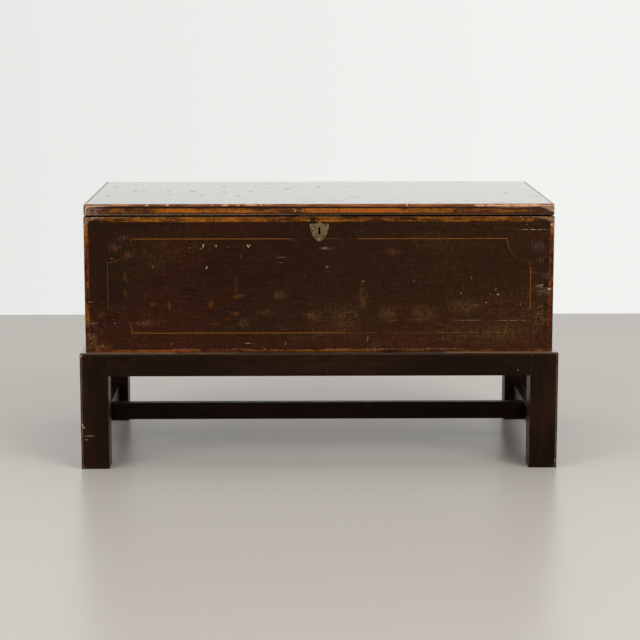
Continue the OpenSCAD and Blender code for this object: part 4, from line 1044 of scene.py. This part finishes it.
def shield_brass(name, seed):
    """Dull brass of the keyhole's shield, rubbed light on its rim and round the keyhole, where a painted
    highlight is also laid.
    """
    metal = bpy.context.scene.painted_box_metal
    finish = Finish(name, seed)
    patches = finish.noise(0.007)
    fine = finish.noise(0.0016, seed=1)
    finish.colour = finish.mix(patches.fade(0.38, 0.62), metal.shield, metal.shield_tarnish)
    finish.dapple(fine, 0.82, 1.16)
    # Rubbed brass and painted highlight on the raised rim round the keyhole and at the shield's edges.
    raised = (finish.y - SHIELD_LOW.y).fade(0.4 * MM, 0.15 * MM)
    from_side = (SHIELD_HIGH.x - SHIELD_LOW.x) / 2 - abs(finish.x)
    rim = finish.least(from_side, SHIELD_HIGH.z - finish.z).fade(metal.rim_width, metal.rim_width / 3)
    rubbed = finish.most(raised, rim)
    finish.over(rubbed * 0.6, metal.shield_rim_and_highlight)
    finish.set(
        Base_Color=finish.colour, Metallic=patches.fade(0.38, 0.62, 0.6, 0.4),
        Roughness=finish.blend(rubbed, 0.5, 0.36), IOR=1.3)
    finish.bump(patches + fine, 0.06 * MM, 0.4)
    return finish.material


def floor_paint(name, colour, roughness):
    """Plain pale satin paint that keeps the object's shadow."""
    material = bpy.data.materials.new(name)
    material.use_nodes = True
    inputs = material.node_tree.nodes["Principled BSDF"].inputs
    inputs["Base Color"].default_value = (*colour, 1)
    inputs["Roughness"].default_value = roughness
    inputs["IOR"].default_value = 1.4
    return material


def room_light(name, colour, sky):
    """Even room light, which eye, metal and glass see as a pale wall, a little lighter to the right."""
    world = bpy.data.worlds.new(name)
    world.use_nodes = True
    tree = world.node_tree
    light = tree.nodes["Background"]
    light.inputs["Color"].default_value = (1, 1, 1, 1)
    light.inputs["Strength"].default_value = sky
    path = tree.nodes.new("ShaderNodeLightPath")
    seen = path.outputs["Is Camera Ray"]
    for ray in ("Is Glossy Ray", "Is Transmission Ray"):
        either = tree.nodes.new("ShaderNodeMath")
        either.operation = "MAXIMUM"
        tree.links.new(seen, either.inputs[0])
        tree.links.new(path.outputs[ray], either.inputs[1])
        seen = either.outputs[0]
    direction = tree.nodes.new("ShaderNodeSeparateXYZ")
    tree.links.new(tree.nodes.new("ShaderNodeTexCoord").outputs["Generated"], direction.inputs[0])
    lighter = tree.nodes.new("ShaderNodeMapRange")
    lighter.interpolation_type = "SMOOTHSTEP"
    tree.links.new(direction.outputs[0], lighter.inputs["Value"])
    for socket, value in (("From Min", -0.25), ("From Max", 0.25), ("To Min", 0.94), ("To Max", 1.05)):
        lighter.inputs[socket].default_value = value
    wall = tree.nodes.new("ShaderNodeBackground")
    wall.inputs["Color"].default_value = (*colour, 1)
    tree.links.new(lighter.outputs["Result"], wall.inputs["Strength"])
    choose = tree.nodes.new("ShaderNodeMixShader")
    for source, socket in zip((seen, light.outputs[0], wall.outputs[0]), choose.inputs):
        tree.links.new(source, socket)
    tree.links.new(choose.outputs["Shader"], tree.nodes["World Output"].inputs["Surface"])
    return world


def strip_mesh(name, profile, half_width):
    """A sheet drawn along X through the points of a profile in Y and Z."""
    mesh = bpy.data.meshes.new(name)
    points = [(side, y, z) for y, z in profile for side in (-half_width, half_width)]
    faces = [(2 * i, 2 * i + 1, 2 * i + 3, 2 * i + 2) for i in range(len(profile) - 1)]
    mesh.from_pydata(points, [], faces)
    for face in mesh.polygons:
        face.use_smooth = True
    sheet = bpy.data.objects.new(name, mesh)
    bpy.context.scene.collection.objects.link(sheet)
    return sheet


def soft_lamp(name, place, aim, size, power):
    """A square soft lamp at a place, aimed at a point."""
    light = bpy.data.lights.new(name, "AREA")
    light.shape = "SQUARE"
    light.size = size
    light.energy = power
    lamp = bpy.data.objects.new(name, light)
    lamp.location = place
    lamp.rotation_mode = "QUATERNION"
    lamp.rotation_quaternion = (Vector(aim) - Vector(place)).to_track_quat("-Z", "Y")
    bpy.context.scene.collection.objects.link(lamp)


class PAINTEDBOX_OT_stand_legs(bpy.types.Operator):
    """Finish the four legs with near-black lacquer"""

    bl_idname = "painted_box.stand_legs"
    bl_label = "Legs"

    def execute(self, context):
        lacquer(LEGS, "Z", 1)
        return {"FINISHED"}


class PAINTEDBOX_OT_stand_rails(bpy.types.Operator):
    """Finish the four rails with near-black lacquer"""

    bl_idname = "painted_box.stand_rails"
    bl_label = "Rails"

    def execute(self, context):
        lacquer(LONG_RAILS, "X", 11)
        lacquer(SHORT_RAILS, "Y", 11)
        return {"FINISHED"}


class PAINTEDBOX_OT_stand_stretchers(bpy.types.Operator):
    """Finish the three stretchers with near-black lacquer"""

    bl_idname = "painted_box.stand_stretchers"
    bl_label = "Stretchers"

    def execute(self, context):
        lacquer(("cross_stretcher",), "X", 21)
        lacquer(SHORT_STRETCHERS, "Y", 21)
        return {"FINISHED"}


class PAINTEDBOX_OT_box_boards(bpy.types.Operator):
    """Paint the box's front, back and sides, with bands and a thin line"""

    bl_idname = "painted_box.box_boards"
    bl_label = "Box boards"

    def execute(self, context):
        dress(BoxPaint("box_paint_long", "X", 1).make(), *LONG_BOARDS)
        dress(BoxPaint("box_paint_short", "Y", 2).make(), *SHORT_BOARDS)
        return {"FINISHED"}


class PAINTEDBOX_OT_box_bottom(bpy.types.Operator):
    """Finish the bottom boards and their battens as bare wood"""

    bl_idname = "painted_box.box_bottom"
    bl_label = "Box bottom"

    def execute(self, context):
        dress(bare_wood("bottom_wood", "X", 31), *BOTTOM_BOARDS)
        dress(bare_wood("bottom_batten_wood", "Y", 32), "bottom_battens")
        return {"FINISHED"}


class PAINTEDBOX_OT_lid_boards(bpy.types.Operator):
    """Paint and polish the lid's two boards"""

    bl_idname = "painted_box.lid_boards"
    bl_label = "Lid boards"

    def execute(self, context):
        dress(LidPaint("lid_paint", 3).make(), *LID_BOARDS)
        return {"FINISHED"}


class PAINTEDBOX_OT_lid_battens(bpy.types.Operator):
    """Finish the battens under the lid as bare wood"""

    bl_idname = "painted_box.lid_battens"
    bl_label = "Lid battens"

    def execute(self, context):
        dress(bare_wood("lid_batten_wood", "Y", 41), *LID_BATTENS)
        return {"FINISHED"}


class PAINTEDBOX_OT_hinges(bpy.types.Operator):
    """Finish the hinges as aged brass with iron pins"""

    bl_idname = "painted_box.hinges"
    bl_label = "Hinges"

    def execute(self, context):
        metal = context.scene.painted_box_metal
        aged_metal("brass", HINGE_LEAVES, metal.brass, metal.brass_tarnish, 51, 0.38)
        aged_metal("iron", HINGE_PINS, metal.iron, metal.rust, 55, 0.45)
        return {"FINISHED"}


class PAINTEDBOX_OT_escutcheon(bpy.types.Operator):
    """Finish the keyhole's shield and its pins as aged brass"""

    bl_idname = "painted_box.escutcheon"
    bl_label = "Escutcheon"

    def execute(self, context):
        metal = context.scene.painted_box_metal
        dress(shield_brass("brass_escutcheon", 61), "escutcheon")
        aged_metal("brass", ("escutcheon_pins",), metal.shield_rim_and_highlight, metal.shield, 62, 0.45)
        return {"FINISHED"}


class PAINTEDBOX_OT_lock(bpy.types.Operator):
    """Finish the lock as aged brass with an iron case and bolt"""

    bl_idname = "painted_box.lock"
    bl_label = "Lock"

    def execute(self, context):
        metal = context.scene.painted_box_metal
        # The lock plate is painted black as shade behind the keyhole.
        aged_metal("metal", ("lock_plate",), metal.brass, metal.brass_tarnish, 71, 0.4, shaded_in_lock=True)
        aged_metal("metal", ("lock_case", "lock_bolt"), metal.iron, metal.rust, 72, 0.4)
        return {"FINISHED"}


class PAINTEDBOX_OT_link_plate(bpy.types.Operator):
    """Finish the lid's link plate as aged brass, in dark tarnish colours that also paint the shade of the gap
    it sits in
    """

    bl_idname = "painted_box.link_plate"
    bl_label = "Link plate"

    def execute(self, context):
        metal = context.scene.painted_box_metal
        # Dark tarnish colours: tarnish, and painted shade in the gap under the lid.
        aged_metal("brass", ("link_plate",), metal.shield_tarnish, metal.rust, 81, 0.5)
        return {"FINISHED"}


class PAINTEDBOX_OT_screws(bpy.types.Operator):
    """Finish the screws as brass and iron"""

    bl_idname = "painted_box.screws"
    bl_label = "Screws"

    def execute(self, context):
        metal = context.scene.painted_box_metal
        aged_metal("brass", BRASS_SCREWS, metal.brass, metal.brass_tarnish, 91, 0.4)
        aged_metal("iron", IRON_SCREWS, metal.iron, metal.rust, 96, 0.5)
        return {"FINISHED"}


class PAINTEDBOX_OT_stage(bpy.types.Operator):
    """Make the floor, the lamps, the room light with its pale wall and the camera"""

    bl_idname = "painted_box.stage"
    bl_label = "Stage"

    def execute(self, context):
        stage = context.scene.painted_box_stage
        self.ground(stage)
        self.lights(context, stage)
        self.camera(context, stage)
        return {"FINISHED"}

    def ground(self, stage):
        """A pale floor that ends where the photograph's wall begins."""
        floor = strip_mesh("floor", [(-stage.floor_front, 0), (stage.floor_back, 0)], stage.floor_half)
        floor.data.materials.append(floor_paint("floor_paint", stage.floor, stage.floor_gloss))

    def lights(self, context, stage):
        """Soft lamps in front, on both sides and overhead, and an even room light."""
        middle = (0, 0, CAD_HIGH.z / 2)
        soft_lamp("key_lamp", (1.9, -2.4, 2.4), middle, 1.8, stage.key_power)
        soft_lamp("fill_lamp", (-2.2, -2.2, 2.0), middle, 1.8, stage.fill_power)
        soft_lamp("top_lamp", (0, -0.2, 2.9), middle, 2.4, stage.top_power)
        context.scene.world = room_light("room_light", stage.wall, stage.sky)

    def camera(self, context, stage):
        """The camera at the photograph's angle."""
        data = bpy.data.cameras.new("camera")
        data.sensor_width = 36
        data.lens = stage.lens
        data.clip_end = 50
        camera = bpy.data.objects.new("camera", data)
        camera.location = stage.camera_place
        camera.rotation_euler = (math.pi / 2 - stage.camera_pitch, 0, stage.camera_turn)
        context.scene.collection.objects.link(camera)
        context.scene.camera = camera


OPERATORS = (
    PAINTEDBOX_OT_stand_legs,
    PAINTEDBOX_OT_stand_rails,
    PAINTEDBOX_OT_stand_stretchers,
    PAINTEDBOX_OT_box_boards,
    PAINTEDBOX_OT_box_bottom,
    PAINTEDBOX_OT_lid_boards,
    PAINTEDBOX_OT_lid_battens,
    PAINTEDBOX_OT_hinges,
    PAINTEDBOX_OT_escutcheon,
    PAINTEDBOX_OT_lock,
    PAINTEDBOX_OT_link_plate,
    PAINTEDBOX_OT_screws,
    PAINTEDBOX_OT_stage,
)
SETTINGS = {
    "painted_box_paint": PaintSettings,
    "painted_box_lid": LidSettings,
    "painted_box_stand": StandSettings,
    "painted_box_wood": WoodSettings,
    "painted_box_metal": MetalSettings,
    "painted_box_stage": StageSettings,
}


class PAINTEDBOX_PT_sidebar(bpy.types.Panel):
    """Lists the finishes of the painted box and what can be changed in them"""

    bl_idname = "PAINTEDBOX_PT_sidebar"
    bl_label = "Painted Box on Stand"
    bl_space_type = "VIEW_3D"
    bl_region_type = "UI"
    bl_category = "Painted Box"

    def draw(self, context):
        column = self.layout.column(align=True)
        for operator in OPERATORS:
            column.operator(operator.bl_idname)
        for attribute, group in SETTINGS.items():
            box = self.layout.box()
            box.label(text=group.__name__.replace("Settings", ""))
            for name in group.__annotations__:
                box.prop(getattr(context.scene, attribute), name)


CLASSES = (*SETTINGS.values(), *OPERATORS, PAINTEDBOX_PT_sidebar)


def register():
    for item in CLASSES:
        bpy.utils.register_class(item)
    for attribute, group in SETTINGS.items():
        setattr(bpy.types.Scene, attribute, bpy.props.PointerProperty(type=group))


def unregister():
    for attribute in SETTINGS:
        delattr(bpy.types.Scene, attribute)
    for item in reversed(CLASSES):
        bpy.utils.unregister_class(item)


def main():
    register()
    bpy.context.scene.view_settings.view_transform = "Standard"
    bpy.ops.painted_box.stand_legs()
    bpy.ops.painted_box.stand_rails()
    bpy.ops.painted_box.stand_stretchers()
    bpy.ops.painted_box.box_boards()
    bpy.ops.painted_box.box_bottom()
    bpy.ops.painted_box.lid_boards()
    bpy.ops.painted_box.lid_battens()
    bpy.ops.painted_box.hinges()
    bpy.ops.painted_box.escutcheon()
    bpy.ops.painted_box.lock()
    bpy.ops.painted_box.link_plate()
    bpy.ops.painted_box.screws()
    bpy.ops.painted_box.stage()


if __name__ == "__main__":
    main()
